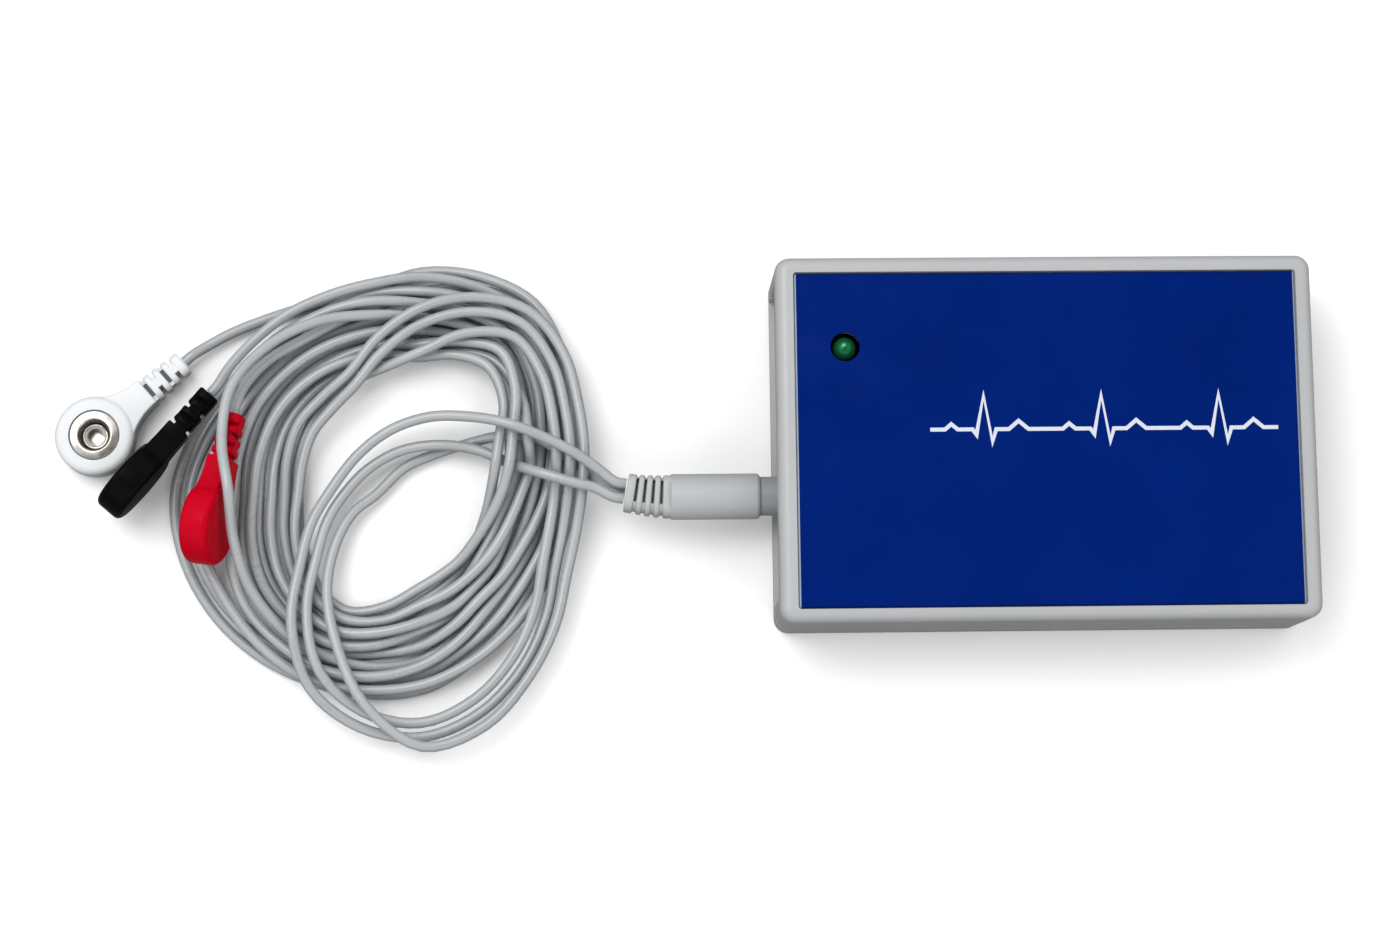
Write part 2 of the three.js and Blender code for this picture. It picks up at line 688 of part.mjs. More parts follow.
for (const side of [-1, 1]) {
  const y = wireSocketY + (side * cellWire.pitch) / 2;
  const z = plugLow + wirePlug.high / 2;
  const endZ = guardTop - cellGuard.high / 2;
  const from = plugRight + clear;
  const to = guardLeft - clear;
  const run = to - from;
  const route = [
    [from, y, z],
    [from + run / 4, y, z],
    [from + run / 2, y + (side * cellWire.bow) / 2, (z + endZ) / 2],
    [to - run / 4, y, endZ],
    [to, y, endZ],
  ];
  const sleeve = wireAlong(route, cellWire.thick, cellWire.sides, cellWire.steps);
  place(side < 0 ? "battery_wire_black" : "battery_wire_red", sleeve, side < 0 ? blackPlastic : redSleeve);
}

// Port and push button

const portLow = boardTop;
const portTop = boardTop + port.high;
const portShell = cut(
  block(portRear, portFront, portY - port.wide / 2, portY + port.wide / 2, portLow, portTop),
  block(
    portRear + port.back, portFront + overrun,
    portY - port.wide / 2 + port.skin, portY + port.wide / 2 - port.skin,
    portLow + port.skin, portTop - port.skin,
  ),
);
place("data_port", portShell, steel);
const tongueSide = port.wide / 2 - port.skin - port.tongueShy;
const tongueLow = (portLow + portTop) / 2 - port.tongueHigh / 2;
place(
  "data_port_tongue",
  block(
    portRear + port.back, portFront - port.tongueShy,
    portY - tongueSide, portY + tongueSide,
    tongueLow, tongueLow + port.tongueHigh,
  ),
  blackPlastic,
);

const flangeOut = panelIn - clear;
const flangeIn = flangeOut - key.flangeThick;
const nubIn = flangeIn - key.nubLong;
const tipOut = nubIn - clear;
const switchFront = tipOut - keySwitch.tipOut;
const switchRear = switchFront - keySwitch.long;
const keyCap = joined(
  barX(key.stem, flangeOut - hair, cavityX + key.proud, keyY, key.z),
  barX(key.flange, flangeIn, flangeOut, keyY, key.z),
  barX(key.nub, nubIn, flangeIn + hair, keyY, key.z, facets.plain),
);
place("record_button", keyCap, noseGrey);
const tipIn = switchFront - keySwitch.tipIn;
const switchBody = cut(
  block(
    switchRear, switchFront,
    keyY - keySwitch.deep / 2, keyY + keySwitch.deep / 2,
    boardTop, boardTop + keySwitch.high,
  ),
  barX(keySwitch.tip + clear, tipIn - key.travel - clear, switchFront + overrun, keyY, key.z, facets.plain),
);
place("button_switch", switchBody, blackPlastic);
place("switch_plunger", barX(keySwitch.tip, tipIn, tipOut, keyY, key.z, facets.plain), whitePlastic);

// Lead socket, with its three spring contacts

let jackBody = block(jackFront, jackBack, jackY - jack.wide / 2, jackY + jack.wide / 2, boardTop, jackTop);
jackBody = cut(jackBody, barX(jack.bore, jackFront - overrun, jackBack + overrun, jackY, jackLine.z));
const springPitch = (jack.long - spring.first - spring.last) / 2;
const springPlaces = [0, 1, 2].map((i) => jackFront + spring.first + i * springPitch);
for (const x of springPlaces) {
  const half = jack.slotLong / 2;
  const wide = jack.slotWide / 2;
  const slot = block(x - half, x + half, jackY - wide, jackY + wide, jackLine.z, jackTop + overrun);
  jackBody = cut(jackBody, slot);
}
place("lead_socket", jackBody, blackPlastic);
["sleeve", "ring", "tip"].forEach((which, i) => {
  const x0 = springPlaces[i] - spring.thick / 2;
  const x1 = springPlaces[i] + spring.thick / 2;
  const barTop = jackTop + spring.bar;
  const legIn = jackY - jack.wide / 2 - clear;
  const legOut = legIn - spring.bar;
  const tongueHalf = spring.wide / 2;
  const tongueFoot = jackLine.z + jack.bore;
  const made = joined(
    block(x0, x1, legOut, jackY + tongueHalf, jackTop, barTop),
    block(x0, x1, legOut, legIn, boardTop, jackTop + hair),
    block(x0, x1, jackY - tongueHalf, jackY + tongueHalf, tongueFoot, jackTop + hair),
  );
  place(`socket_spring_${which}`, made, nickel);
});

// Plug

const shoulder = -(box.long / 2 + plug.gripOut);
const noseEnd = jackFront - clear;
const gripRear = shoulder - plug.gripLong;

// Frame at a distance along the bent relief, from the barrel's rear
function bendAt(along) {
  const full = THREE.MathUtils.degToRad(bend.turn);
  const angle = (full * along) / bend.long;
  const curve = bend.long / full;
  const x = gripRear - curve * Math.sin(angle);
  const y = jackY + curve * (1 - Math.cos(angle));
  return { x, y, angle };
}

// A plate across the relief, thick along it
function bendPlate(from, to, wide, high, round) {
  const middle = bendAt((from + to) / 2);
  const plate = slab(wide, high, round, (from - to) / 2, (to - from) / 2, 0, 0, rounding.plain);
  const turn = new THREE.Matrix4().makeRotationZ(-middle.angle);
  const stand = new THREE.Matrix4().makeBasis(
    new THREE.Vector3(0, 1, 0),
    new THREE.Vector3(0, 0, 1),
    new THREE.Vector3(1, 0, 0),
  );
  const all = new THREE.Matrix4().makeTranslation(middle.x, middle.y, jackLine.z);
  return plate.transform(all.multiply(turn).multiply(stand).elements);
}

function plugGrip() {
  const round = plug.gripRound;
  const outline = [
    [0, gripRear],
    ...quarterArc(plug.grip - round, gripRear + round, round, -Math.PI / 2, rounding.plain),
    ...quarterArc(plug.grip - round, shoulder - round, round, 0, rounding.plain),
    [0, shoulder],
  ];
  const points = outline.map(([radius, along]) => new THREE.Vector2(radius, along));
  const geometry = new THREE.LatheGeometry(points, facets.round);
  geometry.rotateZ(-Math.PI / 2);
  geometry.translate(0, jackY, jackLine.z);
  let made = bodyFrom(geometry);
  const pitch = (bend.long - bend.ringLong) / (bend.rings - 1);
  for (let i = 0; i < bend.rings; i++) {
    const from = i * pitch - (i ? 0 : round);
    made = joined(made, bendPlate(from, i * pitch + bend.ringLong, bend.wide, bend.high, bend.round));
    if (!i) continue;
    made = joined(made, bendPlate((i - 1) * pitch, i * pitch + hair, bend.coreWide, bend.coreHigh, round));
  }
  return made;
}

place("plug_grip", plugGrip(), gripRubber);
place("plug_nose", barX(plug.nose, shoulder, noseEnd, jackY, jackLine.z, facets.fine), noseGrey);
let pinAt = noseEnd;
function pinPiece(name, long, radius, material) {
  place(name, barX(radius, pinAt, pinAt + long, jackY, jackLine.z, facets.plain), material);
  pinAt += long;
}
pinPiece("plug_sleeve_contact", plug.sleeveLong, plug.pin, nickel);
pinPiece("plug_insulator_rear", plug.insulator, plug.ringWaist, blackPlastic);
pinPiece("plug_ring_contact", plug.ringLong, plug.pin, nickel);
pinPiece("plug_insulator_front", plug.insulator, plug.ringWaist, blackPlastic);
const tipEnd = pinAt + plug.tipLong;
const tipPoints = [
  [0, pinAt],
  [plug.ringWaist, pinAt],
  [plug.ringWaist, pinAt + plug.insulator],
  [plug.pin, pinAt + 2 * plug.insulator],
  [plug.pin, tipEnd - plug.tipCone],
  [plug.ringWaist / 2, tipEnd],
  [0, tipEnd],
].map(([radius, along]) => new THREE.Vector2(radius, along));
const tipGeometry = new THREE.LatheGeometry(tipPoints, facets.plain);
tipGeometry.rotateZ(-Math.PI / 2);
tipGeometry.translate(0, jackY, jackLine.z);
place("plug_tip_contact", bodyFrom(tipGeometry), nickel);

// Snap connectors

function snapBoot() {
  const half = snap.thick / 2;
  const inner = snap.radius - snap.round;
  const disc = turned(
    [
      [0, -half],
      ...quarterArc(inner, snap.round - half, snap.round, -Math.PI / 2, rounding.coarse),
      ...quarterArc(inner, half - snap.round, snap.round, 0, rounding.coarse),
      [0, half],
    ],
    facets.fine,
  );
  const wideHalf = snap.neckWide / 2;
  const narrowHalf = snap.neckNarrow / 2;
  const taper = new THREE.Shape();
  taper.moveTo(snap.neckFrom, -wideHalf);
  taper.quadraticCurveTo(snap.neckCurve, -narrowHalf, snap.neckTo, -narrowHalf);
  taper.lineTo(snap.neckTo, narrowHalf);
  taper.quadraticCurveTo(snap.neckCurve, narrowHalf, snap.neckFrom, wideHalf);
  const neckGeometry = new THREE.ExtrudeGeometry(taper, {
    depth: snap.neckHigh - 2 * snap.neckRound,
    bevelThickness: snap.neckRound,
    bevelSize: snap.neckRound,
    bevelOffset: -snap.neckRound,
    bevelSegments: rounding.coarse,
    curveSegments: rounding.smooth,
  });
  neckGeometry.translate(0, 0, snap.neckRound - snap.neckHigh / 2);
  const reliefFrom = snap.neckTo - snap.neckRound * 2;
  const section = roundedPlan(snap.reliefHigh, snap.reliefWide, snap.reliefRound);
  const reliefGeometry = new THREE.ExtrudeGeometry(section, {
    depth: snap.reliefTo - reliefFrom,
    bevelEnabled: false,
    curveSegments: rounding.plain,
  });
  reliefGeometry.rotateY(Math.PI / 2);
  reliefGeometry.translate(reliefFrom, 0, 0);
  let boot = joined(disc, bodyFrom(neckGeometry), bodyFrom(reliefGeometry));
  const pitch = (snap.reliefTo - snap.neckTo) / (snap.slots + 1 / 2);
  const web = snap.web / 2;
  const wide = snap.slotWide / 2;
  for (let i = 0; i < snap.slots; i++) {
    const from = snap.neckTo + (i + 1 / 4) * pitch;
    const to = from + snap.slotLong;
    const flat = i % 2 ? snap.reliefWide : snap.reliefHigh;
    for (const side of [-1, 1]) {
      const [near, far] = [side * web, (side * (flat + overrun)) / 2].sort((a, b) => a - b);
      const slot = i % 2 ? block(from, to, near, far, -wide, wide) : block(from, to, -wide, wide, near, far);
      boot = cut(boot, slot);
    }
  }
  const seat = half + cup.proud - cup.flangeThick - clear;
  const well = half + cup.proud - cup.deep - clear;
  return cut(
    boot,
    bar(cup.flange + clear, seat, half + overrun, 0, 0, facets.cup),
    bar(cup.barrel + clear, well, half, 0, 0),
  );
}

function snapCup() {
  const top = snap.thick / 2 + cup.proud;
  const bottom = top - cup.deep;
  const step = top - cup.flangeThick;
  return turned(
    [
      [cup.eye, bottom],
      [cup.barrel, bottom],
      [cup.barrel, step],
      [cup.flange, step],
      [cup.flange, top - cup.chamfer],
      [cup.flange - cup.chamfer, top],
      [cup.mouth + cup.chamfer, top],
      [cup.mouth, top - cup.chamfer],
      [cup.mouth, bottom + cup.base],
      [cup.eye, bottom + cup.base],
      [cup.eye, bottom],
    ],
    facets.cup,
  );
}

function snapSpring() {
  const outer = cup.mouth - clear;
  const open = THREE.MathUtils.degToRad(cupSpring.openDegrees) / 2;
  const shape = new THREE.Shape();
  shape.absarc(0, 0, outer, open, 2 * Math.PI - open);
  shape.absarc(0, 0, cupSpring.inner, 2 * Math.PI - open, open, true);
  const geometry = new THREE.ExtrudeGeometry(shape, {
    depth: cupSpring.thick,
    bevelEnabled: false,
    curveSegments: rounding.spring,
  });
  geometry.translate(0, 0, snap.thick / 2 + cup.proud - cupSpring.deep - cupSpring.thick);
  return bodyFrom(geometry);
}

function snapFrame(spec) {
  const heading = THREE.MathUtils.degToRad(spec.heading);
  const roll = THREE.MathUtils.degToRad(spec.roll);
  const slope = THREE.MathUtils.degToRad(spec.slope);
  const level = new THREE.Vector3(Math.cos(heading), Math.sin(heading), 0);
  const beside = new THREE.Vector3(Math.sin(heading), -Math.cos(heading), 0);
  const metal = new THREE.Vector3(0, 0, Math.cos(roll)).addScaledVector(beside, Math.sin(roll));
  const across = new THREE.Vector3().crossVectors(metal, level);
  const along = level.multiplyScalar(Math.cos(slope)).addScaledVector(across, Math.sin(slope));
  const third = new THREE.Vector3().crossVectors(metal, along);
  return new THREE.Matrix4().makeBasis(along, third, metal).setPosition(spec.x, spec.y, spec.z);
}

for (const spec of snaps) {
  const group = new THREE.Group();
  group.applyMatrix4(snapFrame(spec));
  recorder.add(group);
  place(`${spec.name}_snap_boot`, snapBoot(), finish(spec.colour, 0.5, 0), group);
  place(`${spec.name}_snap_cup`, snapCup(), nickel, group);
  place(`${spec.name}_snap_spring`, snapSpring(), steel, group);
}

// Leads: the route of each from its snap through the coil to the plug, then settled as a pile

// Height at share t of a smooth curve through b and c, with a before them and d after them
function between(a, b, c, d, t) {
  const squared = (2 * a - 5 * b + 4 * c - d) * t * t;
  const cubed = (3 * b - 3 * c + d - a) * t * t * t;
  return (2 * b + (c - a) * t + squared + cubed) / 2;
}

function fill(values, parts) {
  const count = values.length;
  const padded = [2 * values[0] - values[1], ...values, 2 * values[count - 1] - values[count - 2]];
  const filled = [];
  for (let i = 1; i < count; i++) {
    for (let k = 0; k < parts; k++) {
      filled.push(between(padded[i - 1], padded[i], padded[i + 1], padded[i + 2], k / parts));
    }
  }
  filled.push(values[count - 1]);
  return filled;
}

function coilTurns(lead) {
  const distances = [];
  const weaves = [];
  const count = turns.length * coil.perTurn;
  for (let m = 0; m < count; m++) {
    const phase = 2 * Math.PI * (lead / heads.length + (coil.twist * m) / coil.perTurn);
    let distance = turns[Math.floor(m / coil.perTurn)][m % coil.perTurn];
    distance += swing[m % coil.perTurn] * Math.cos(phase);
    for (const nudge of nudges) {
      if (lead === nudge.lead && m === nudge.at) distance += nudge.out;
    }
    distances.push(distance);
    weaves.push(coil.weave * Math.sin(phase));
  }
  for (const distance of lastTurn[lead]) {
    distances.push(distance);
    weaves.push(0);
  }
  return fill(distances, coil.between).map((distance, i) => {
    const m = i / coil.between;
    const angle = Math.PI / 2 - (2 * Math.PI * m) / coil.perTurn;
    const layer = coil.turnRise * (m / coil.perTurn) + coil.leadRise * lead;
    let z = wire.thick / 2 + layer + weaves[Math.floor(m)];
    if (lead === rideOver.lead && m >= rideOver.from && m <= rideOver.to) z = rideOver.high;
    const x = coil.x + distance * Math.cos(angle);
    const y = coil.y + distance * Math.sin(angle);
    return [x, y, Math.max(z, wire.thick / 2)];
  });
}

function leadRoute(lead) {
  const frame = snapFrame(snaps[lead]);
  const start = snap.reliefTo + clear;
  const first = new THREE.Vector3(start, 0, 0).applyMatrix4(frame).toArray();
  const second = new THREE.Vector3(start + wire.straight, 0, 0).applyMatrix4(frame).toArray();
  const end = bendAt(bend.long);
  const outX = -Math.cos(end.angle);
  const outY = Math.sin(end.angle);
  const [across, up] = exits[lead];
  const atPlug = (gap) => [
    end.x + outX * gap + outY * across,
    end.y + outY * gap - outX * across,
    jackLine.z + up,
  ];
  return [
    first,
    second,
    ...heads[lead],
    ...coilTurns(lead),
    ...tails[lead],
    atPlug(clear + wire.straight),
    atPlug(clear),
  ];
}

// Shares along two stretches of wire where they come closest, and the way from the second to the first
function closest(points, a, b) {
  const p = points[a];
  const q = points[b];
  const u = [points[a + 1][0] - p[0], points[a + 1][1] - p[1], points[a + 1][2] - p[2]];
  const v = [points[b + 1][0] - q[0], points[b + 1][1] - q[1], points[b + 1][2] - q[2]];
  const w = [p[0] - q[0], p[1] - q[1], p[2] - q[2]];
  const dot = (m, n) => m[0] * n[0] + m[1] * n[1] + m[2] * n[2];
  const uu = dot(u, u);
  const vv = dot(v, v);
  const uv = dot(u, v);
  const uw = dot(u, w);
  const vw = dot(v, w);
  const spread = uu * vv - uv * uv;
  const clampShare = (value) => Math.min(Math.max(value, 0), 1);
  let s = clampShare(spread > parallel ? (uv * vw - uw * vv) / spread : 1 / 2);
  const t = (uv * s + vw) / vv;
  const tHeld = clampShare(t);
  if (tHeld !== t) s = clampShare((uv * tHeld - uw) / uu);
  const gap = [0, 1, 2].map((k) => w[k] + u[k] * s - v[k] * tHeld);
  return { s, t: tHeld, gap, distance: Math.hypot(...gap) };
}

// The standing snaps, whose necks the leads pass over or under and whose discs they pass beside or under
const obstacles = snaps.filter((spec) => spec.roll).map((spec) => {
  const frame = snapFrame(spec);
  const at = (x, z) => new THREE.Vector3(x, 0, z).applyMatrix4(frame).toArray();
  const middle = at(0, 0);
  const metal = at(0, 1).map((value, k) => value - middle[k]);
  return { from: at(snap.radius - snap.round, 0), to: at(snap.reliefTo - snap.slotLong, 0), middle, metal };
});

function settleLeads(routes) {
  const points = routes.flat().map((point) => [...point]);
  const drawn = points.map((point) => [...point]);
  const owner = routes.flatMap((route, lead) => route.map(() => lead));
  const count = points.length;
  const held = owner.map((lead, i) => owner[i - settling.held] !== lead || owner[i + settling.held] !== lead);
  const over = routes.flatMap((route, lead) => {
    const firstTail = route.length - settling.held - tails[lead].length;
    const lastHead = heads[lead].length + settling.held - 1;
    return route.map((point, i) => i >= firstTail || (i > lastHead && point[2] > rideOver.high - overrun));
  });
  const stretches = [];
  for (let i = 0; i + 1 < count; i++) {
    if (owner[i] === owner[i + 1]) stretches.push(i);
  }
  const pairs = [];
  stretches.forEach((a, i) => {
    for (const b of stretches.slice(i + 1)) {
      if (owner[a] !== owner[b] || b - a > settling.skip) pairs.push([a, b]);
    }
  });
  const spacing = wire.thick + coil.room;
  const floor = wire.thick / 2;
  let near = [];
  for (let round = 0; round < settling.rounds; round++) {
    const done = round / settling.rounds;
    if (round % settling.refresh === 0) {
      near = pairs.filter(([a, b]) => {
        for (let k = 0; k < 3; k++) {
          const apart = points[a][k] + points[a + 1][k] - points[b][k] - points[b + 1][k];
          if (Math.abs(apart) / 2 >= settling.reach) return false;
        }
        return true;
      });
    }
    for (let i = 0; i < count; i++) {
      if (held[i]) continue;
      if (done < settling.fallShare) points[i][2] -= settling.drop * (1 - done);
      if (done >= settling.easeShare) continue;
      for (let k = 0; k < 2; k++) points[i][k] += settling.keepShare * (drawn[i][k] - points[i][k]);
    }
    let easing = done < settling.easeShare ? settling.softShare : 0;
    if (done < settling.fallShare) easing = settling.firmShare;
    for (let pass = 0; pass < settling.passes && easing > 0; pass++) {
      const shift = points.map((point, i) => [point[0] - drawn[i][0], point[1] - drawn[i][1], point[2]]);
      for (let i = 0; i < count; i++) {
        if (held[i]) continue;
        for (let k = 0; k < 3; k++) {
          const eased = shift[i][k] + easing * ((shift[i - 1][k] + shift[i + 1][k]) / 2 - shift[i][k]);
          points[i][k] = eased + (k < 2 ? drawn[i][k] : 0);
        }
      }
    }
    for (let push = 0; push < settling.pushes; push++) {
      const moves = points.map(() => [0, 0, 0, 0]);
      for (const [a, b] of near) {
        const { s, t, gap, distance } = closest(points, a, b);
        if (distance >= spacing) continue;
        const shares = [1 - s, s, t - 1, -t];
        const total = shares.reduce((sum, share) => sum + share * share, 0);
        const scale = (spacing - distance) / total / Math.max(distance, touching);
        [a, a + 1, b, b + 1].forEach((i, n) => {
          for (let k = 0; k < 3; k++) moves[i][k] += shares[n] * scale * gap[k];
          moves[i][3] += 1;
        });
      }
      for (let i = 0; i < count; i++) {
        if (held[i]) continue;
        const calm = Math.max(1, Math.sqrt(moves[i][3]));
        for (let k = 0; k < 3; k++) points[i][k] += moves[i][k] / calm;
        points[i][2] = Math.max(points[i][2], floor);
      }
    }
    const rise = floor + snapRoom;
    for (const { from, to, middle, metal } of obstacles) {
      const run = [to[0] - from[0], to[1] - from[1], to[2] - from[2]];
      const runSquared = run[0] * run[0] + run[1] * run[1];
      for (let i = 0; i < count; i++) {
        if (held[i]) continue;
        const away = [points[i][0] - from[0], points[i][1] - from[1]];
        const share = Math.min(Math.max((away[0] * run[0] + away[1] * run[1]) / runSquared, 0), 1);
        const beside = Math.hypot(away[0] - share * run[0], away[1] - share * run[1]);
        const swell = Math.max(0, neckSwell * (neckSwellShare - share)) + (over[i] ? rideRoom : 0);
        const need = snap.neckNarrow / 2 + rise + swell;
        if (beside < need) {
          const axisZ = from[2] + share * run[2];
          const lift = Math.sqrt(need * need - beside * beside);
          if (over[i]) points[i][2] = Math.max(points[i][2], axisZ + lift);
          else points[i][2] = Math.max(Math.min(points[i][2], axisZ - lift), floor);
        }
        const off = points[i].map((value, k) => value - middle[k]);
        const along = off[0] * metal[0] + off[1] * metal[1] + off[2] * metal[2];
        const out = off.map((value, k) => value - along * metal[k]);
        const radius = Math.hypot(...out);
        const sideways = snap.thick / 2 + rise - Math.abs(along);
        const outward = snap.radius + rise - radius;
        if (sideways <= 0 || outward <= 0) continue;
        for (let k = 0; k < 3; k++) {
          if (sideways < outward) points[i][k] += sideways * Math.sign(along) * metal[k];
          else points[i][k] += (outward * out[k]) / radius;
        }
        points[i][2] = Math.max(points[i][2], floor);
      }
    }
  }
  let least = Infinity;
  const leastOwn = routes.map(() => Infinity);
  for (const [a, b] of pairs) {
    const gap = closest(points, a, b).distance - wire.thick;
    if (owner[a] === owner[b]) leastOwn[owner[a]] = Math.min(leastOwn[owner[a]], gap);
    else least = Math.min(least, gap);
  }
  const settled = routes.map((route, lead) => points.filter((point, i) => owner[i] === lead));
  return { settled, least, leastOwn };
}

// A tube of rings along a settled route, closed at both ends
function leadTube(points) {
  const positions = [];
  const faces = [];
  const count = points.length;
  const vectors = points.map((point) => new THREE.Vector3(...point));
  vectors.forEach((at, i) => {
    const ahead = vectors[Math.min(i + 1, count - 1)].clone().sub(at);
    const behind = at.clone().sub(vectors[Math.max(i - 1, 0)]);
    const tangent = ahead.normalize().add(behind.normalize()).normalize();
    const side = new THREE.Vector3(tangent.y, -tangent.x, 0).normalize();
    const up = new THREE.Vector3().crossVectors(side, tangent);
    for (let k = 0; k < wire.sides; k++) {
      const angle = ((k + 0.5) * 2 * Math.PI) / wire.sides;
      const out = at.clone();
      out.addScaledVector(side, (Math.cos(angle) * wire.thick) / 2);
      out.addScaledVector(up, (Math.sin(angle) * wire.thick) / 2);
      positions.push(out.x, out.y, out.z);
    }
  });
  const firstHub = count * wire.sides;
  positions.push(...points[0], ...points[count - 1]);
  for (let k = 0; k < wire.sides; k++) {
    const next = (k + 1) % wire.sides;
    const lastRing = (count - 1) * wire.sides;
    faces.push(firstHub, next, k, firstHub + 1, lastRing + k, lastRing + next);
    for (let i = 0; i + 1 < count; i++) {
      const here = i * wire.sides;
      const there = here + wire.sides;
      faces.push(here + k, here + next, there + k, there + k, here + next, there + next);
    }
  }
  const geometry = new THREE.BufferGeometry();
  geometry.setAttribute("position", new THREE.BufferAttribute(new Float32Array(positions), 3));
  geometry.setIndex(faces);
  return bodyFrom(geometry);
}

const { settled, least, leastOwn } = settleLeads(snaps.map((spec, lead) => leadRoute(lead)));
snaps.forEach((spec, lead) => {
  const route = settled[lead];
  const length = route.reduce((sum, point, i) => {
    if (!i) return 0;
    const before = route[i - 1];
    return sum + Math.hypot(point[0] - before[0], point[1] - before[1], point[2] - before[2]);
  }, 0);
  const ownGap = leastOwn[lead].toFixed(2);
  console.log(`${spec.name} lead: ${length.toFixed(0)} mm long, least gap to itself ${ownGap} mm`);
  place(`${spec.name}_lead_wire`, leadTube(route), leadSleeve);
});
console.log(`least gap between two leads ${least.toFixed(2)} mm`);

export default recorder;
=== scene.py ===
import math

import bmesh
import bpy
import numpy as np
from mathutils import Matrix, Vector


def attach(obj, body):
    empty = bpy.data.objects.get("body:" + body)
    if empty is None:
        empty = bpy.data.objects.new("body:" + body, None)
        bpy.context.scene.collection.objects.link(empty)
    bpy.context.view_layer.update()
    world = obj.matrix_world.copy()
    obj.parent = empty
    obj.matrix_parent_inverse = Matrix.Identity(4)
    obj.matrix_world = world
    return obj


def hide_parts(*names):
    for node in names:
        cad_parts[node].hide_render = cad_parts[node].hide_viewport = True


# Pocket heart-signal recorder with coiled snap leads. Lengths are in millimetres here, and a mesh is scaled
# to metres when its piece is finished.
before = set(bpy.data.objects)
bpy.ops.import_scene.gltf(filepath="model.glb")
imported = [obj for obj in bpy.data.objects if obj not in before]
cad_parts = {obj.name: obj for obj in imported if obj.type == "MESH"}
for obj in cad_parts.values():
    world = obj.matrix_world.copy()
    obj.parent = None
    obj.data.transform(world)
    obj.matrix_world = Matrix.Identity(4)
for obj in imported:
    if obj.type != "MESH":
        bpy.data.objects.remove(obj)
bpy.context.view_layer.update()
mm = 0.001
gap = 0.3  # room between a piece and what it sits in
overlap = 0.1  # how far joined shapes run into each other
overrun = 2  # how far a cutter runs past what it cuts
samePlace = 1e-4  # points closer than this are one point
sameWay = math.radians(0.5)  # faces that turn less than this are one face
levelFace = 0.9  # a face lies level when its normal has at least this much of Z
closeBy = 0.02  # how near to a level a face's middle counts as on it
print("frame loaded")


def addObject(name, data):
    made = bpy.data.objects.new(name, data)
    bpy.context.scene.collection.objects.link(made)
    return made


# Camera, at the photograph's viewing angle

cameraView = {
    "place": (-93.942, -98.281, 662.017),
    "turn": (-0.14463, 0.03537, 0.01062),  # rotation vector from the table to the camera
    "focalPixels": 3190.54,
    "photoWide": 1400,
    "sensor": 36,
    "nearest": 0.01,
}


def makeCamera():
    turn = Vector(cameraView["turn"])
    tableToCamera = Matrix.Rotation(turn.length, 3, turn.normalized())
    camera = bpy.data.cameras.new("photo camera")
    camera.sensor_width = cameraView["sensor"]
    camera.lens = cameraView["focalPixels"] / cameraView["photoWide"] * cameraView["sensor"]
    camera.clip_start = cameraView["nearest"]
    holder = addObject("photo camera", camera)
    holder.matrix_world = tableToCamera.transposed().to_4x4()
    holder.location = Vector(cameraView["place"]) * mm
    bpy.context.scene.camera = holder
    bpy.context.scene.view_settings.view_transform = "Standard"


makeCamera()


# Shared shader effects

def makeGroup(name, inputs, outputs):
    group = bpy.data.node_groups.new(name, "ShaderNodeTree")
    for label, kind, value in inputs:
        socket = group.interface.new_socket(name=label, in_out="INPUT", socket_type="NodeSocket" + kind)
        socket.default_value = value
    for label, kind in outputs:
        group.interface.new_socket(name=label, in_out="OUTPUT", socket_type="NodeSocket" + kind)
    source = group.nodes.new("NodeGroupInput")
    target = group.nodes.new("NodeGroupOutput")
    return group, source, target


def addNode(tree, kind, settings=None, values=None):
    node = tree.nodes.new("ShaderNode" + kind)
    for key, value in (settings or {}).items():
        setattr(node, key, value)
    for key, value in (values or {}).items():
        node.inputs[key].default_value = value
    return node


def wire(tree, *links):
    for source, output, target, entry in links:
        tree.links.new(source.outputs[output], target.inputs[entry])


def shadeVariation():
    group, source, target = makeGroup(
        "shade variation",
        [("Color", "Color", (0.5, 0.5, 0.5, 1)), ("Scale", "Float", 60), ("Amount", "Float", 0.06)],
        [("Color", "Color")],
    )
    place = addNode(group, "TexCoord")
    noise = addNode(group, "TexNoise", values={"Detail": 4, "Roughness": 0.6})
    spread = addNode(group, "MapRange", values={"From Min": 0.3, "From Max": 0.7, "To Min": -1, "To Max": 1})
    strength = addNode(group, "Math", {"operation": "MULTIPLY_ADD"}, {2: 1})
    tint = addNode(group, "VectorMath", {"operation": "SCALE"})
    wire(group, (place, "Object", noise, "Vector"), (source, "Scale", noise, "Scale"),
         (noise, 0, spread, "Value"), (spread, 0, strength, 0), (source, "Amount", strength, 1),
         (source, "Color", tint, 0), (strength, 0, tint, "Scale"), (tint, 0, target, "Color"))
    return group


def mouldGrain():
    group, source, target = makeGroup(
        "mould grain",
        [("Grain", "Float", 2600), ("Sag", "Float", 30), ("Share", "Float", 0.3)],
        [("Height", "Float")],
    )
    place = addNode(group, "TexCoord")
    fine = addNode(group, "TexNoise", values={"Detail": 2})
    broad = addNode(group, "TexNoise", values={"Detail": 1})
    blend = addNode(group, "Mix")
    wire(group, (place, "Object", fine, "Vector"), (place, "Object", broad, "Vector"),
         (source, "Grain", fine, "Scale"), (source, "Sag", broad, "Scale"), (source, "Share", blend, "Factor"),
         (fine, 0, blend, "A"), (broad, 0, blend, "B"), (blend, 0, target, "Height"))
    return group


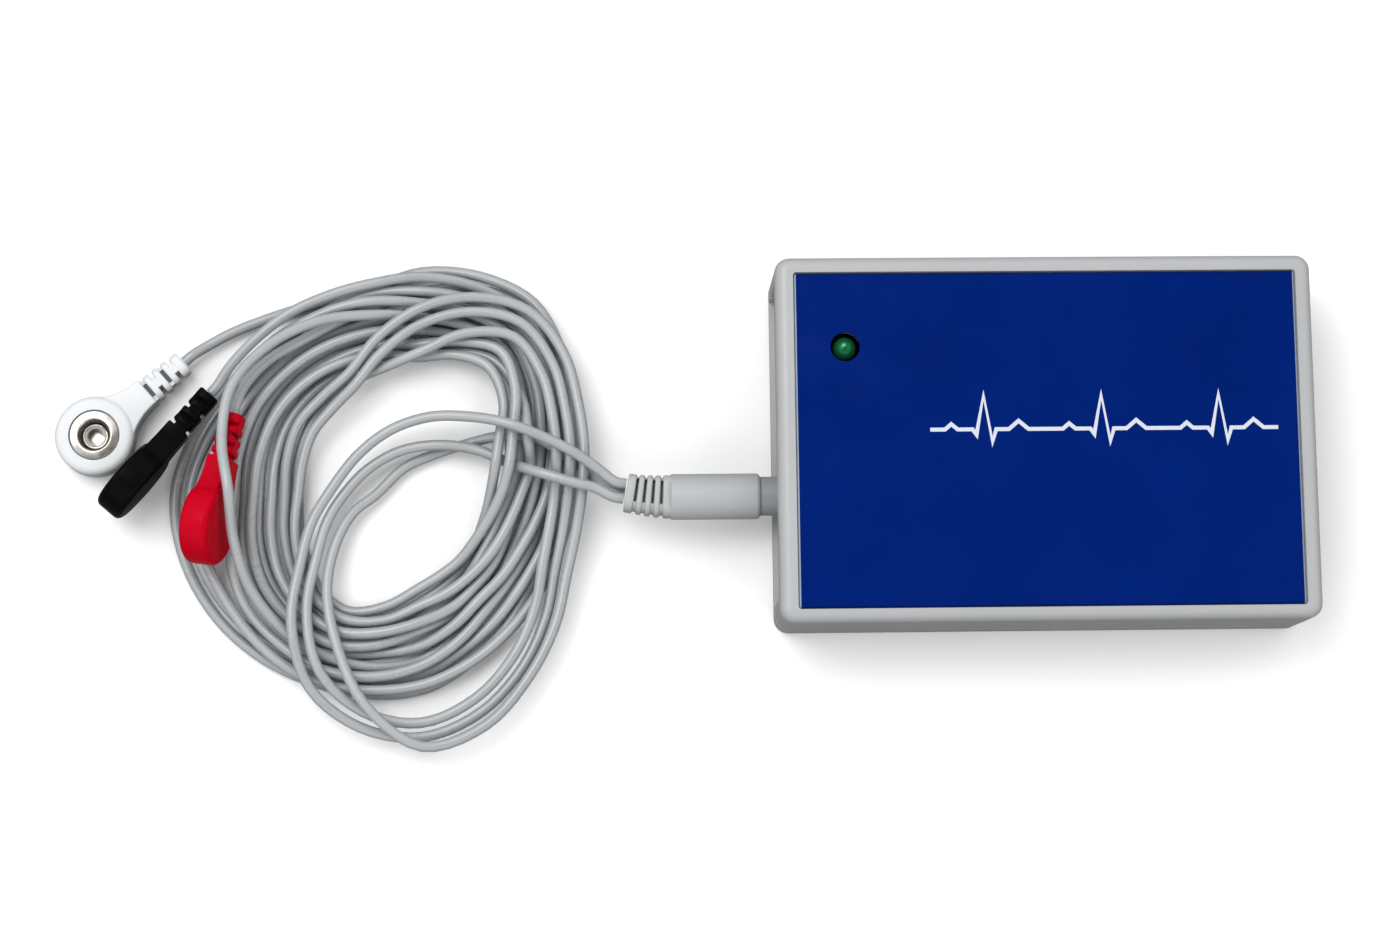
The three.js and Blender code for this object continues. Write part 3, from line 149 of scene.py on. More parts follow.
def wipedDust():
    group, source, target = makeGroup(
        "wiped dust",
        [("Scale", "Float", 90), ("Low", "Float", 0.3), ("High", "Float", 0.4)],
        [("Roughness", "Float")],
    )
    place = addNode(group, "TexCoord")
    noise = addNode(group, "TexNoise", values={"Detail": 6, "Roughness": 0.65, "Distortion": 0.4})
    spread = addNode(group, "MapRange", values={"From Min": 0.35, "From Max": 0.7})
    wire(group, (place, "Object", noise, "Vector"), (source, "Scale", noise, "Scale"),
         (noise, 0, spread, "Value"), (source, "Low", spread, "To Min"), (source, "High", spread, "To Max"),
         (spread, 0, target, "Roughness"))
    return group


effects = {"variation": shadeVariation(), "grain": mouldGrain(), "dust": wipedDust()}


def placeEffect(tree, name, values):
    return addNode(tree, "Group", {"node_tree": effects[name]}, values)


usualLook = {  # what a finish has where it doesn't say otherwise
    "patch": 60, "uneven": 0.04, "smear": 90, "roughSpread": 0.05, "grain": 2600, "sag": 40, "sagShare": 0.3,
    "bump": 0.15, "depth": 0.00004, "metal": 0, "ior": 1.48, "shine": 0.5, "coat": 0, "coatRough": 0.05,
}
shaderSockets = {
    "Metallic": "metal", "IOR": "ior", "Specular IOR Level": "shine", "Coat Weight": "coat",
    "Coat Roughness": "coatRough",
}


def mouldedMaterial(name, ownLook):
    look = {**usualLook, **ownLook}
    material = bpy.data.materials.new(name)
    material.use_nodes = True
    tree = material.node_tree
    shader = tree.nodes["Principled BSDF"]
    color = placeEffect(tree, "variation", {
        "Color": (*look["color"], 1), "Scale": look["patch"], "Amount": look["uneven"]})
    rough = placeEffect(tree, "dust", {
        "Scale": look["smear"], "Low": look["rough"] - look["roughSpread"],
        "High": look["rough"] + look["roughSpread"]})
    grain = placeEffect(tree, "grain", {"Grain": look["grain"], "Sag": look["sag"], "Share": look["sagShare"]})
    bump = addNode(tree, "Bump", values={"Strength": look["bump"], "Distance": look["depth"]})
    wire(tree, (color, "Color", shader, "Base Color"), (rough, "Roughness", shader, "Roughness"),
         (grain, "Height", bump, "Height"), (bump, "Normal", shader, "Normal"))
    for socket, key in shaderSockets.items():
        shader.inputs[socket].default_value = look[key]
    material.diffuse_color = (*look["color"], 1)
    return material


looks = {
    "case plastic": {"color": (0.342, 0.349, 0.356), "rough": 0.36, "uneven": 0.025, "bump": 0.25,
                     "patch": 30, "shine": 0.4},
    "panel plastic": {"color": (0.28, 0.292, 0.302), "rough": 0.5, "uneven": 0.03, "bump": 0.3, "shine": 0.4},
    "label gloss": {"color": (0.0002, 0.0108, 0.12), "rough": 0.16, "uneven": 0.09, "patch": 35, "ior": 1.35,
                    "bump": 0.04, "smear": 60, "shine": 0.2},
    # lighter edge colour with a painted highlight, on the plate's two end bevels
    "label edge with painted highlight": {"color": (0.4, 0.47, 0.58), "rough": 0.3, "uneven": 0.05},
    "trace ink": {"color": (0.5, 0.53, 0.6), "rough": 0.4, "uneven": 0.02, "patch": 300},
    "lamp resin": {"color": (0, 0.15, 0.05), "rough": 0.06, "uneven": 0.1, "coat": 0.14, "bump": 0.02,
                   "shine": 0.1},
    "lead sleeve": {"color": (0.298, 0.315, 0.326), "rough": 0.3, "shine": 0.75, "uneven": 0.07, "patch": 45,
                    "bump": 0.25, "sag": 160, "sagShare": 0.6, "roughSpread": 0.07},
    # the lead's grey core, darkened as painted shade of the relief's cuts
    "relief core with painted shade": {"color": (0.09, 0.095, 0.1), "rough": 0.5, "uneven": 0.05, "bump": 0.2, "shine": 0.3},
    "grip rubber": {"color": (0.35, 0.363, 0.367), "rough": 0.48, "uneven": 0.03, "bump": 0.3, "shine": 0.4},
    "nose plastic": {"color": (0.235, 0.25, 0.265), "rough": 0.42, "uneven": 0.03, "bump": 0.15, "shine": 0.4},
    "white rubber": {"color": (0.58, 0.597, 0.61), "rough": 0.4, "uneven": 0.02, "bump": 0.12, "shine": 0.4},
    "black rubber": {"color": (0.0022, 0.0022, 0.0024), "rough": 0.25, "uneven": 0.25, "bump": 0.25,
                     "shine": 0.03},
    "red rubber": {"color": (0.42, 0.0004, 0.0105), "rough": 0.3, "uneven": 0.05, "bump": 0.2, "shine": 0.03},
    "nickel plate": {"color": (0.63, 0.6, 0.55), "rough": 0.25, "metal": 1, "uneven": 0.08, "bump": 0.1,
                     "grain": 1200, "smear": 300, "roughSpread": 0.06},
    # darker nickel painted as shade deep in the cup's middle
    "cup painted shade": {"color": (0.34, 0.32, 0.29), "rough": 0.2, "metal": 1, "uneven": 0.08, "bump": 0.1,
                   "smear": 300},
    "spring steel": {"color": (0.55, 0.55, 0.55), "rough": 0.25, "metal": 1, "uneven": 0.05, "bump": 0.1},
    "screw steel": {"color": (0.45, 0.45, 0.47), "rough": 0.35, "metal": 1, "uneven": 0.12, "patch": 400,
                    "bump": 0.2},
    "board resin": {"color": (0.008, 0.07, 0.024), "rough": 0.35, "uneven": 0.15, "patch": 200, "coat": 0.3},
    "chip resin": {"color": (0.009, 0.009, 0.01), "rough": 0.55, "uneven": 0.2, "bump": 0.3, "grain": 5000},
    "foil": {"color": (0.42, 0.44, 0.46), "rough": 0.3, "metal": 0.7, "uneven": 0.06, "sag": 90,
             "sagShare": 0.8, "bump": 0.6, "depth": 0.0003},
    "foam": {"color": (0.02, 0.02, 0.022), "rough": 0.9, "uneven": 0.3, "patch": 900, "bump": 1,
             "grain": 1800},
    "white nylon": {"color": (0.55, 0.54, 0.51), "rough": 0.45, "uneven": 0.03},
    "red sleeve": {"color": (0.35, 0.006, 0.006), "rough": 0.4, "uneven": 0.05},
}
materials = {name: mouldedMaterial(name, look) for name, look in looks.items()}
print("materials made")


# Mesh helpers

def addBox(bm, low, high):
    made = bmesh.ops.create_cube(bm, size=1)["verts"]
    bmesh.ops.scale(bm, vec=[b - a for a, b in zip(low, high)], verts=made)
    bmesh.ops.translate(bm, vec=[(a + b) / 2 for a, b in zip(low, high)], verts=made)


def roundEdges(bm, edges, width, steps):
    bmesh.ops.bevel(bm, geom=edges, offset=width, offset_type="OFFSET", segments=steps, profile=0.5,
                    affect="EDGES", material=-1, clamp_overlap=True)


def edgesAlong(bm, axis):
    return [e for e in bm.edges if abs(e.verts[0].co[axis] - e.verts[1].co[axis]) > samePlace]


def rimEdges(bm, height):
    return [e for e in bm.edges if all(abs(v.co.z - height) < samePlace for v in e.verts)]


def roundedSlab(low, high, corner=0, top=0, foot=0, cornerSteps=10, edgeSteps=6):
    bm = bmesh.new()
    addBox(bm, low, high)
    if corner:
        roundEdges(bm, edgesAlong(bm, 2), corner, cornerSteps)
    if top:
        roundEdges(bm, rimEdges(bm, high[2]), top, edgeSteps)
    if foot:
        roundEdges(bm, rimEdges(bm, low[2]), foot, max(2, edgeSteps // 2))
    return bm


def centredSlab(halfX, halfY, low, high, middle=(0, 0), **rounding):
    x, y = middle
    return roundedSlab((x - halfX, y - halfY, low), (x + halfX, y + halfY, high), **rounding)


def cylinder(radius, start, end, middle=(0, 0), steps=48):
    bm = bmesh.new()
    bmesh.ops.create_cone(bm, cap_ends=True, segments=steps, radius1=radius, radius2=radius, depth=end - start)
    bmesh.ops.translate(bm, vec=(*middle, (start + end) / 2), verts=bm.verts)
    return bm


# Turns what stands on the origin so that it lies along X, at this y and z
def laidAlongX(bm, y, z):
    bmesh.ops.rotate(bm, cent=(0, 0, 0), matrix=Matrix.Rotation(math.pi / 2, 3, "Y"), verts=bm.verts)
    bmesh.ops.translate(bm, vec=(0, y, z), verts=bm.verts)
    return bm


def extrudeUp(bm, faces, height):
    grown = bmesh.ops.extrude_face_region(bm, geom=faces)["geom"]
    bmesh.ops.translate(bm, vec=(0, 0, height), verts=[v for v in grown if isinstance(v, bmesh.types.BMVert)])


# The outline holds radius and height pairs, from the axis round to the axis or closed on itself
def spunProfile(outline, steps=64):
    bm = bmesh.new()
    verts = [bm.verts.new((radius, 0, height)) for radius, height in outline]
    edges = [bm.edges.new(pair) for pair in zip(verts, verts[1:])]
    bmesh.ops.spin(bm, geom=verts + edges, cent=(0, 0, 0), axis=(0, 0, 1), dvec=(0, 0, 0),
                   angle=2 * math.pi, steps=steps, use_merge=True, use_duplicate=False)
    bmesh.ops.remove_doubles(bm, verts=bm.verts, dist=samePlace)
    bmesh.ops.recalc_face_normals(bm, faces=bm.faces)
    return bm


# Points of an arc, between two angles in degrees
def arc(radiusAt, heightAt, size, start, end, steps):
    angles = [math.radians(start + (end - start) * i / steps) for i in range(steps + 1)]
    return [(radiusAt + size * math.cos(a), heightAt + size * math.sin(a)) for a in angles]


def toMesh(bm, name):
    mesh = bpy.data.meshes.new(name)
    bm.to_mesh(mesh)
    bm.free()
    return mesh


def looseObject(bm):
    bmesh.ops.recalc_face_normals(bm, faces=bm.faces)
    return addObject("loose", toMesh(bm, "loose"))


def carved(bm, cutters, joiners=()):
    target = looseObject(bm)
    tools = []
    for operation, shapes in (("UNION", joiners), ("DIFFERENCE", cutters)):
        for shape in shapes:
            tool = looseObject(shape)
            tools.append(tool)
            change = target.modifiers.new("carve", "BOOLEAN")
            change.operation = operation
            change.solver = "EXACT"
            change.object = tool
    bpy.context.view_layer.update()
    seen = target.evaluated_get(bpy.context.evaluated_depsgraph_get())
    result = bmesh.new()
    result.from_mesh(seen.to_mesh())
    seen.to_mesh_clear()
    for tool in [target, *tools]:
        bpy.data.meshes.remove(tool.data)
    bmesh.ops.remove_doubles(result, verts=result.verts, dist=samePlace)
    bmesh.ops.dissolve_limit(result, angle_limit=sameWay, verts=result.verts, edges=result.edges)
    return result


edgeRounding = {"steps": 2, "angle": 32}  # edges that turn by more degrees than this are rounded


# Edge is the width of the rounding in millimetres, sharp the angle in degrees from which shading has an edge
def finishPiece(bm, name, body, look, replaces=(), edge=0, sharp=32, turn=None):
    if turn is not None:
        bmesh.ops.transform(bm, matrix=turn, verts=bm.verts)
    bmesh.ops.scale(bm, vec=(mm, mm, mm), verts=bm.verts)
    bmesh.ops.recalc_face_normals(bm, faces=bm.faces)
    mesh = toMesh(bm, name)
    mesh.shade_smooth()
    mesh.set_sharp_from_angle(angle=math.radians(sharp))
    mesh.materials.append(materials[look])
    made = addObject(name, mesh)
    if edge:
        rounding = made.modifiers.new("edge rounding", "BEVEL")
        rounding.width = edge * mm
        rounding.segments = edgeRounding["steps"]
        rounding.limit_method = "ANGLE"
        rounding.angle_limit = math.radians(edgeRounding["angle"])
        rounding.use_clamp_overlap = True
        rounding.miter_outer = "MITER_ARC"
        evened = made.modifiers.new("even shading", "WEIGHTED_NORMAL")
        evened.keep_sharp = False
    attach(made, body)
    if replaces:
        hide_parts(*replaces)
    return made


# Gives a second finish to the faces whose middle passes the test, measured before the piece was turned
def refinish(made, look, turn, test):
    back = turn.inverted()
    made.data.materials.append(materials[look])
    for face in made.data.polygons:
        if test(*(back @ (Vector(face.center) / mm))):
            face.material_index = 1


# Where the snaps lie: the metal face looks along local +Z and the neck runs along local +X

snapSizes = {
    "radius": 8.2, "thick": 6.2, "round": 1.3, "neckFrom": 5, "neckTo": 13.6, "neckWide": 12.2,
    "neckNarrow": 5.6, "neckCurve": 8.8, "neckHigh": 5, "neckRound": 0.8, "fillet": 0.5, "reliefTo": 23.7,
    "slots": 4, "slotLong": 0.9,
}
snapPlaces = [
    {"name": "white", "place": (-195.4, 4.8, 3.12), "heading": 40.8, "slope": 0, "roll": 0},
    {"name": "black", "place": (-186.8, -5.2, 8.48), "heading": 49.4, "slope": 2, "roll": -85},
    {"name": "red", "place": (-171.1, -14.9, 12.3), "heading": 80.4, "slope": 8, "roll": -105},
]


def snapFrame(spec):
    heading, slope, roll = (math.radians(spec[key]) for key in ("heading", "slope", "roll"))
    level = Vector((math.cos(heading), math.sin(heading), 0))
    beside = Vector((math.sin(heading), -math.cos(heading), 0))
    metal = Vector((0, 0, math.cos(roll))) + beside * math.sin(roll)
    along = level * math.cos(slope) + metal.cross(level) * math.sin(slope)
    turn = Matrix((along, metal.cross(along), metal)).transposed().to_4x4()
    turn.translation = spec["place"]
    return turn


# The plug's line and its bent relief

plugSizes = {
    "y": -9.85, "z": 11, "rear": -75.6, "shoulder": -57.9, "noseRadius": 4.02, "noseEnd": -51.3,
    "bendLong": 10, "bendTurn": 11, "round": 2.2,
}


def bendPlace(along):
    full = math.radians(plugSizes["bendTurn"])
    angle = full * along / plugSizes["bendLong"]
    curve = plugSizes["bendLong"] / full
    x = plugSizes["rear"] - curve * math.sin(angle)
    y = plugSizes["y"] + curve * (1 - math.cos(angle))
    return x, y, angle


# The leads: their routes from the snaps through the coil to the plug, settled as a pile

leadSizes = {"thick": 2.2, "straight": 2.2}
coilSizes = {
    "x": -128, "y": -8, "perTurn": 12, "between": 2, "room": 0.62, "twist": 0.9, "weave": 0.9, "turnRise": 1.9,
    "leadRise": 0.3,
    "turns": [  # middle distance of each turn from the coil's middle, every 30 degrees clockwise from +Y
        [44, 43.5, 33.5, 28.5, 27.5, 30, 36.5, 41.5, 46, 48, 43.5, 41.5],
        [40.5, 39.5, 29.5, 24, 23, 26.5, 33, 38.5, 41.5, 38.5, 39.5, 38.5],
        [36.5, 36, 26, 20.5, 19, 22, 28.5, 35, 35.5, 33, 34, 33.5],
        [31.5, 33.5, 24, 18, 17, 19, 23, 32, 29.5, 27, 28, 28.5],
    ],
    "swing": [2.2, 2.2, 2, 1.8, 1.9, 2.2, 2.2, 2.2, 2.3, 2.5, 2.4, 2.3],
    "lastTurn": [  # where the leads lie apart, one row for each
        [35.5, 41.4, 34.4, 30.2, 31.6, 41.2, 49.9, 46, 28.5, 19],
        [31.8, 38.6, 31.6, 27.4, 28.8, 38.4, 47.2, 42, 25, 16.2],
        [39, 44.2, 37.2, 33, 34.4, 44, 52.6, 35.5, 20.5, 9.6],
    ],
    "rideOver": {"lead": 1, "start": 20.9, "end": 22.1, "high": 13},
    # lead, place along the coil, and how far out it is moved there
    "nudges": [(1, 20, -2.6), (1, 21, -1.3), (1, 22, 2.6), (1, 23, 1.6), (0, 8, 1.2), (0, 9, 0.4),
               (2, 8, -0.5), (2, 9, 0.5)],
}
leadHeads = [
    [(-173.4, 23.2, 2.5), (-167.3, 26.4, 1.4), (-158.7, 29.5, 1.1), (-148.3, 32.2, 1.1), (-138, 34.6, 1.1)],
    [(-167.5, 18, 6.6), (-162.5, 23, 4.4), (-155, 27.9, 2.2), (-146.2, 31.6, 1.5), (-137.5, 33.6, 1.5)],
    [(-164.4, 14.9, 7), (-160.2, 20.2, 5.4), (-153.4, 25, 3.4), (-145.2, 28.4, 2.2), (-137, 30.6, 1.6)],
]
leadTails = [
    [(-140.9, 0, 6), (-134, 5.1, 3.5), (-126, 7.5, 2.6), (-118, 7.2, 4.5), (-110, 5.3, 8), (-102.5, 2.5, 10),
     (-96, -0.8, 10.8), (-91.4, -3.9, 11.3)],
    [(-139, -2.4, 6), (-132, 1.6, 3.5), (-124, 3, 2.6), (-116, 2.4, 4.5), (-108.5, 0.3, 8), (-101, -2.7, 9.7),
     (-94.5, -5.9, 10.8), (-91.4, -7.4, 11.3)],
    [(-132, -2.6, 4), (-126, 0, 2.4), (-119, 1.9, 2.2), (-112, 2.7, 5), (-105, 1.4, 8), (-98.5, -1.6, 8.9),
     (-94, -4.4, 8.9), (-91.4, -6.1, 8.9)],
]
leadExits = [(1.75, 0.5), (-1.35, 0.5), (0.2, -2.1)]  # across and up on the relief's end face
settling = {
    "rounds": 180, "drop": 0.35, "reach": 16, "pushes": 4, "keepShare": 0.03, "fallShare": 0.75,
    "easeShare": 0.88, "firmShare": 0.35, "softShare": 0.1, "easings": 2, "searchEvery": 10,
    "nearStretches": 3, "rideMargin": 1, "snapRoom": 0.65, "rideRoom": 0.7, "neckSwell": 5.2,
    "swellShare": 0.42,
}


def between(a, b, c, d, t):
    return (2 * b + (c - a) * t + (2 * a - 5 * b + 4 * c - d) * t * t + (3 * b - 3 * c + d - a) * t**3) / 2


def padded(values):
    return np.concatenate([[2 * values[0] - values[1]], values, [2 * values[-1] - values[-2]]])


def filled(values, parts):
    values = np.asarray(values, float)
    row = padded(values)
    steps = [between(*row[i - 1:i + 3], k / parts) for i in range(1, len(values)) for k in range(parts)]
    return np.array(steps + [values[-1]])


def coilTurns(lead):
    coil = coilSizes
    distances, weaves = [], []
    for m in range(len(coil["turns"]) * coil["perTurn"]):
        phase = 2 * math.pi * (lead / len(snapPlaces) + coil["twist"] * m / coil["perTurn"])
        place = m % coil["perTurn"]
        distance = coil["turns"][m // coil["perTurn"]][place] + coil["swing"][place] * math.cos(phase)
        distance += sum(out for which, at, out in coil["nudges"] if which == lead and at == m)
        distances.append(distance)
        weaves.append(coil["weave"] * math.sin(phase))
    distances += coil["lastTurn"][lead]
    weaves += [0] * len(coil["lastTurn"][lead])
    floor = leadSizes["thick"] / 2
    over = coil["rideOver"]
    points = []
    for i, distance in enumerate(filled(distances, coil["between"])):
        m = i / coil["between"]
        angle = math.pi / 2 - 2 * math.pi * m / coil["perTurn"]
        z = floor + coil["turnRise"] * m / coil["perTurn"] + coil["leadRise"] * lead + weaves[int(m)]
        if lead == over["lead"] and over["start"] <= m <= over["end"]:
            z = over["high"]
        x = coil["x"] + distance * math.cos(angle)
        y = coil["y"] + distance * math.sin(angle)
        points.append((x, y, max(z, floor)))
    return points


def leadRoute(lead):
    turn = snapFrame(snapPlaces[lead])
    start = snapSizes["reliefTo"] + gap
    first = tuple(turn @ Vector((start, 0, 0)))
    second = tuple(turn @ Vector((start + leadSizes["straight"], 0, 0)))
    endX, endY, angle = bendPlace(plugSizes["bendLong"])
    outX, outY = -math.cos(angle), math.sin(angle)
    across, up = leadExits[lead]

    def atPlug(away):
        return (endX + outX * away + outY * across, endY + outY * away - outX * across, plugSizes["z"] + up)

    ends = [atPlug(gap + leadSizes["straight"]), atPlug(gap)]
    return [first, second, *leadHeads[lead], *coilTurns(lead), *leadTails[lead], *ends]


def closestShares(points, a, b):
    p, q = points[a], points[b]
    u, v = points[a + 1] - p, points[b + 1] - q
    w = p - q
    uu, vv, uv = (u * u).sum(1), (v * v).sum(1), (u * v).sum(1)
    uw, vw = (u * w).sum(1), (v * w).sum(1)
    spread = uu * vv - uv * uv
    s = np.where(spread > 1e-9, (uv * vw - uw * vv) / np.where(spread > 1e-9, spread, 1), 0.5).clip(0, 1)
    t = (uv * s + vw) / vv
    held = t.clip(0, 1)
    s = np.where(held != t, ((uv * held - uw) / uu).clip(0, 1), s)
    apart = w + u * s[:, None] - v * held[:, None]
    return s, held, apart, np.sqrt((apart * apart).sum(1))


def standingSnaps():
    found = []
    for spec in snapPlaces:
        if not spec["roll"]:
            continue
        turn = snapFrame(spec)
        start = turn @ Vector((snapSizes["radius"] - snapSizes["round"], 0, 0))
        end = turn @ Vector((snapSizes["reliefTo"] - snapSizes["slotLong"], 0, 0))
        found.append([np.array(row, float) for row in (start, end, spec["place"], turn.col[2][:3])])
    return found


def clearOfSnap(points, held, over, snap):
    start, end, middle, metal = snap
    floor = leadSizes["thick"] / 2
    rise = floor + settling["snapRoom"]
    run = end - start
    away = points[:, :2] - start[:2]
    share = ((away @ run[:2]) / (run[:2] @ run[:2])).clip(0, 1)
    beside = np.hypot(*(away - share[:, None] * run[:2]).T)
    swell = np.maximum(0, settling["neckSwell"] * (settling["swellShare"] - share))
    need = snapSizes["neckNarrow"] / 2 + rise + swell + np.where(over, settling["rideRoom"], 0)
    touching = (beside < need) & ~held
    axisZ = start[2] + share * run[2]
    lift = np.sqrt(np.maximum(need * need - beside * beside, 0))
    lifted = np.maximum(points[:, 2], axisZ + lift)
    lowered = np.maximum(np.minimum(points[:, 2], axisZ - lift), floor)
    points[:, 2] = np.where(touching, np.where(over, lifted, lowered), points[:, 2])
    off = points - middle
    along = off @ metal
    out = off - along[:, None] * metal
    radius = np.sqrt((out * out).sum(1))
    sideways = snapSizes["thick"] / 2 + rise - abs(along)
    outward = snapSizes["radius"] + rise - radius
    inside = (sideways > 0) & (outward > 0) & ~held
    byFace = (sideways * np.sign(along))[:, None] * metal
    byRim = (outward / np.maximum(radius, 1e-6))[:, None] * out
    points += np.where(inside[:, None], np.where((sideways < outward)[:, None], byFace, byRim), 0)
    points[:, 2] = np.where(inside, np.maximum(points[:, 2], floor), points[:, 2])


def settledLeads(routes):
    points = np.array([point for route in routes for point in route], float)
    drawn = points.copy()
    owner = np.array([lead for lead, route in enumerate(routes) for point in route])
    count = len(points)
    held = np.ones(count, bool)
    held[2:-2] = (owner[:-4] != owner[2:-2]) | (owner[4:] != owner[2:-2])
    over = []
    for lead, route in enumerate(routes):
        firstTail = len(route) - 2 - len(leadTails[lead])
        high = coilSizes["rideOver"]["high"] - settling["rideMargin"]
        over += [i >= firstTail or (i > len(leadHeads[lead]) + 1 and point[2] > high)
                 for i, point in enumerate(route)]
    over = np.array(over)
    stretches = np.nonzero(owner[:-1] == owner[1:])[0]
    first, second = np.triu_indices(len(stretches), 1)
    a, b = stretches[first], stretches[second]
    wanted = (owner[a] != owner[b]) | (b - a > settling["nearStretches"])
    a, b = a[wanted], b[wanted]
    floor = leadSizes["thick"] / 2
    spacing = leadSizes["thick"] + coilSizes["room"]
    free = ~held
    snaps = standingSnaps()
    for turn in range(settling["rounds"]):
        done = turn / settling["rounds"]
        if turn % settling["searchEvery"] == 0:
            middles = points[a] + points[a + 1] - points[b] - points[b + 1]
            near = (abs(middles) / 2 < settling["reach"]).all(1)
            nearA, nearB = a[near], b[near]
        if done < settling["fallShare"]:
            points[free, 2] -= settling["drop"] * (1 - done)
        if done < settling["easeShare"]:
            points[free, :2] += settling["keepShare"] * (drawn[free, :2] - points[free, :2])
        easing = settling["softShare"] if done < settling["easeShare"] else 0
        if done < settling["fallShare"]:
            easing = settling["firmShare"]
        for again in range(settling["easings"] if easing else 0):
            shift = points - drawn * [1, 1, 0]
            eased = shift.copy()
            eased[1:-1] += easing * ((shift[:-2] + shift[2:]) / 2 - shift[1:-1])
            points[free] = (eased + drawn * [1, 1, 0])[free]
        for again in range(settling["pushes"]):
            s, t, apart, distance = closestShares(points, nearA, nearB)
            tight = distance < spacing
            s, t, apart, distance = s[tight], t[tight], apart[tight], distance[tight]
            shares = np.stack([1 - s, s, t - 1, -t])
            scale = (spacing - distance) / (shares * shares).sum(0) / np.maximum(distance, 1e-6)
            moves = np.zeros((count, 3))
            pushed = np.zeros(count)
            for who, share in zip((nearA[tight], nearA[tight] + 1, nearB[tight], nearB[tight] + 1), shares):
                np.add.at(moves, who, (share * scale)[:, None] * apart)
                np.add.at(pushed, who, 1)
            points[free] += (moves / np.maximum(1, np.sqrt(pushed))[:, None])[free]
            points[free, 2] = np.maximum(points[free, 2], floor)
        for snap in snaps:
            clearOfSnap(points, held, over, snap)
    return [points[owner == lead] for lead in range(len(routes))]


def smoothed(points, parts):
    row = padded(points)
    made = []
    for i in range(1, len(points)):
        p0, p1, p2, p3 = row[i - 1:i + 3]
        k0, k1, k2 = (max(np.linalg.norm(q - p), 1e-6) ** 0.5 for p, q in ((p0, p1), (p1, p2), (p2, p3)))
        m1 = (p1 - p0) / k0 - (p2 - p0) / (k0 + k1) + (p2 - p1) / k1
        m2 = (p2 - p1) / k1 - (p3 - p1) / (k1 + k2) + (p3 - p2) / k2
        for step in range(parts):
            t = step / parts
            a, b, c, d = 2 * t**3 - 3 * t**2 + 1, t**3 - 2 * t**2 + t, -2 * t**3 + 3 * t**2, t**3 - t**2
            made.append(a * p1 + b * k1 * m1 + c * p2 + d * k1 * m2)
    made.append(points[-1])
    made = np.array(made)
    made[:, 2] = np.maximum(made[:, 2], leadSizes["thick"] / 2)
    return made


leadLooks = {"partsPerStep": 5, "sleeveSides": 5}


def makeLead(name, points):
    line = smoothed(points, leadLooks["partsPerStep"])
    length = np.sqrt((np.diff(line, axis=0) ** 2).sum(1)).sum()
    curve = bpy.data.curves.new(name + "_lead", "CURVE")
    curve.dimensions = "3D"
    curve.twist_mode = "MINIMUM"
    spline = curve.splines.new("POLY")
    spline.points.add(len(line) - 1)
    spline.points.foreach_set("co", np.c_[line * mm, np.ones(len(line))].ravel())
    spline.use_smooth = True
    curve.bevel_depth = leadSizes["thick"] / 2 * mm
    curve.bevel_resolution = leadLooks["sleeveSides"]
    curve.use_fill_caps = True
    curve.materials.append(materials["lead sleeve"])
    lead = addObject(name + "_lead", curve)
    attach(lead, "lead_set")
    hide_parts(name + "_lead_wire")
    return lead, length * mm


routes = [leadRoute(lead) for lead in range(len(snapPlaces))]
leads = [makeLead(spec["name"], points) for spec, points in zip(snapPlaces, settledLeads(routes))]
print("leads laid:", [round(length, 3) for lead, length in leads])


# Case: two shells, the end panels and the label plate

caseSizes = {
    "long": 110, "deep": 74.8, "high": 26, "parting": 7.2, "corner": 3, "topRound": 2.4, "footRound": 1.6,
    "seamHigh": 1.1, "seamDeep": 0.8, "cavityX": 53.3, "cavityY": 35.2, "floor": 2, "roofUnder": 22.7,
    "roofTop": 24.7, "mouthHalf": 32.4, "mouthLow": 3.2, "mouthTop": 21.5, "edge": 0.25,
    "trayX": 51.5, "trayY": 34.45, "trayCorner": 0.65, "lipHalf": 35, "lipBase": 1.2, "lipAbove": 1.8,
    "lowerEdge": 0.2,
}
labelSizes = {
    "middle": (0.15, -0.33), "halfX": 51.25, "halfY": 34.25, "top": 25.5, "corner": 0.5, "bevel": 0.32,
    "hole": 3,
}
lampSizes = {
    "place": (-40.95, 18.7), "low": 16.3, "dome": 2.5, "flange": 2.95, "flangeHigh": 1, "flangeEdge": 0.15,
    "high": 8.6,
}
postSizes = {
    "x": 46.5, "y": 31.2, "upper": 3.5, "lower": 4.4, "shank": 1.75, "bore": 18, "head": 3.1, "headDeep": 3.4,
    "shankSides": 24,
}
standSizes = {"x": 40, "y": 23.2, "radius": 2.6, "top": 6, "pilot": 1.4, "pilotLow": 2.7, "sides": 32,
              "pilotSides": 24}
panelSizes = {
    "thick": 2, "half": 33.6, "low": 2, "top": 22.4, "edge": 0.2, "plugHole": 4.3, "ribThick": 0.9,
    "ribLong": 2.2,
}
cornerSigns = [(-1, -1), (1, -1), (1, 1), (-1, 1)]


def atCorners(size):
    return [(signX * size["x"], signY * size["y"]) for signX, signY in cornerSigns]


def endMouth(low, top):
    return centredSlab(caseSizes["long"] / 2 + overrun, caseSizes["mouthHalf"], low, top)


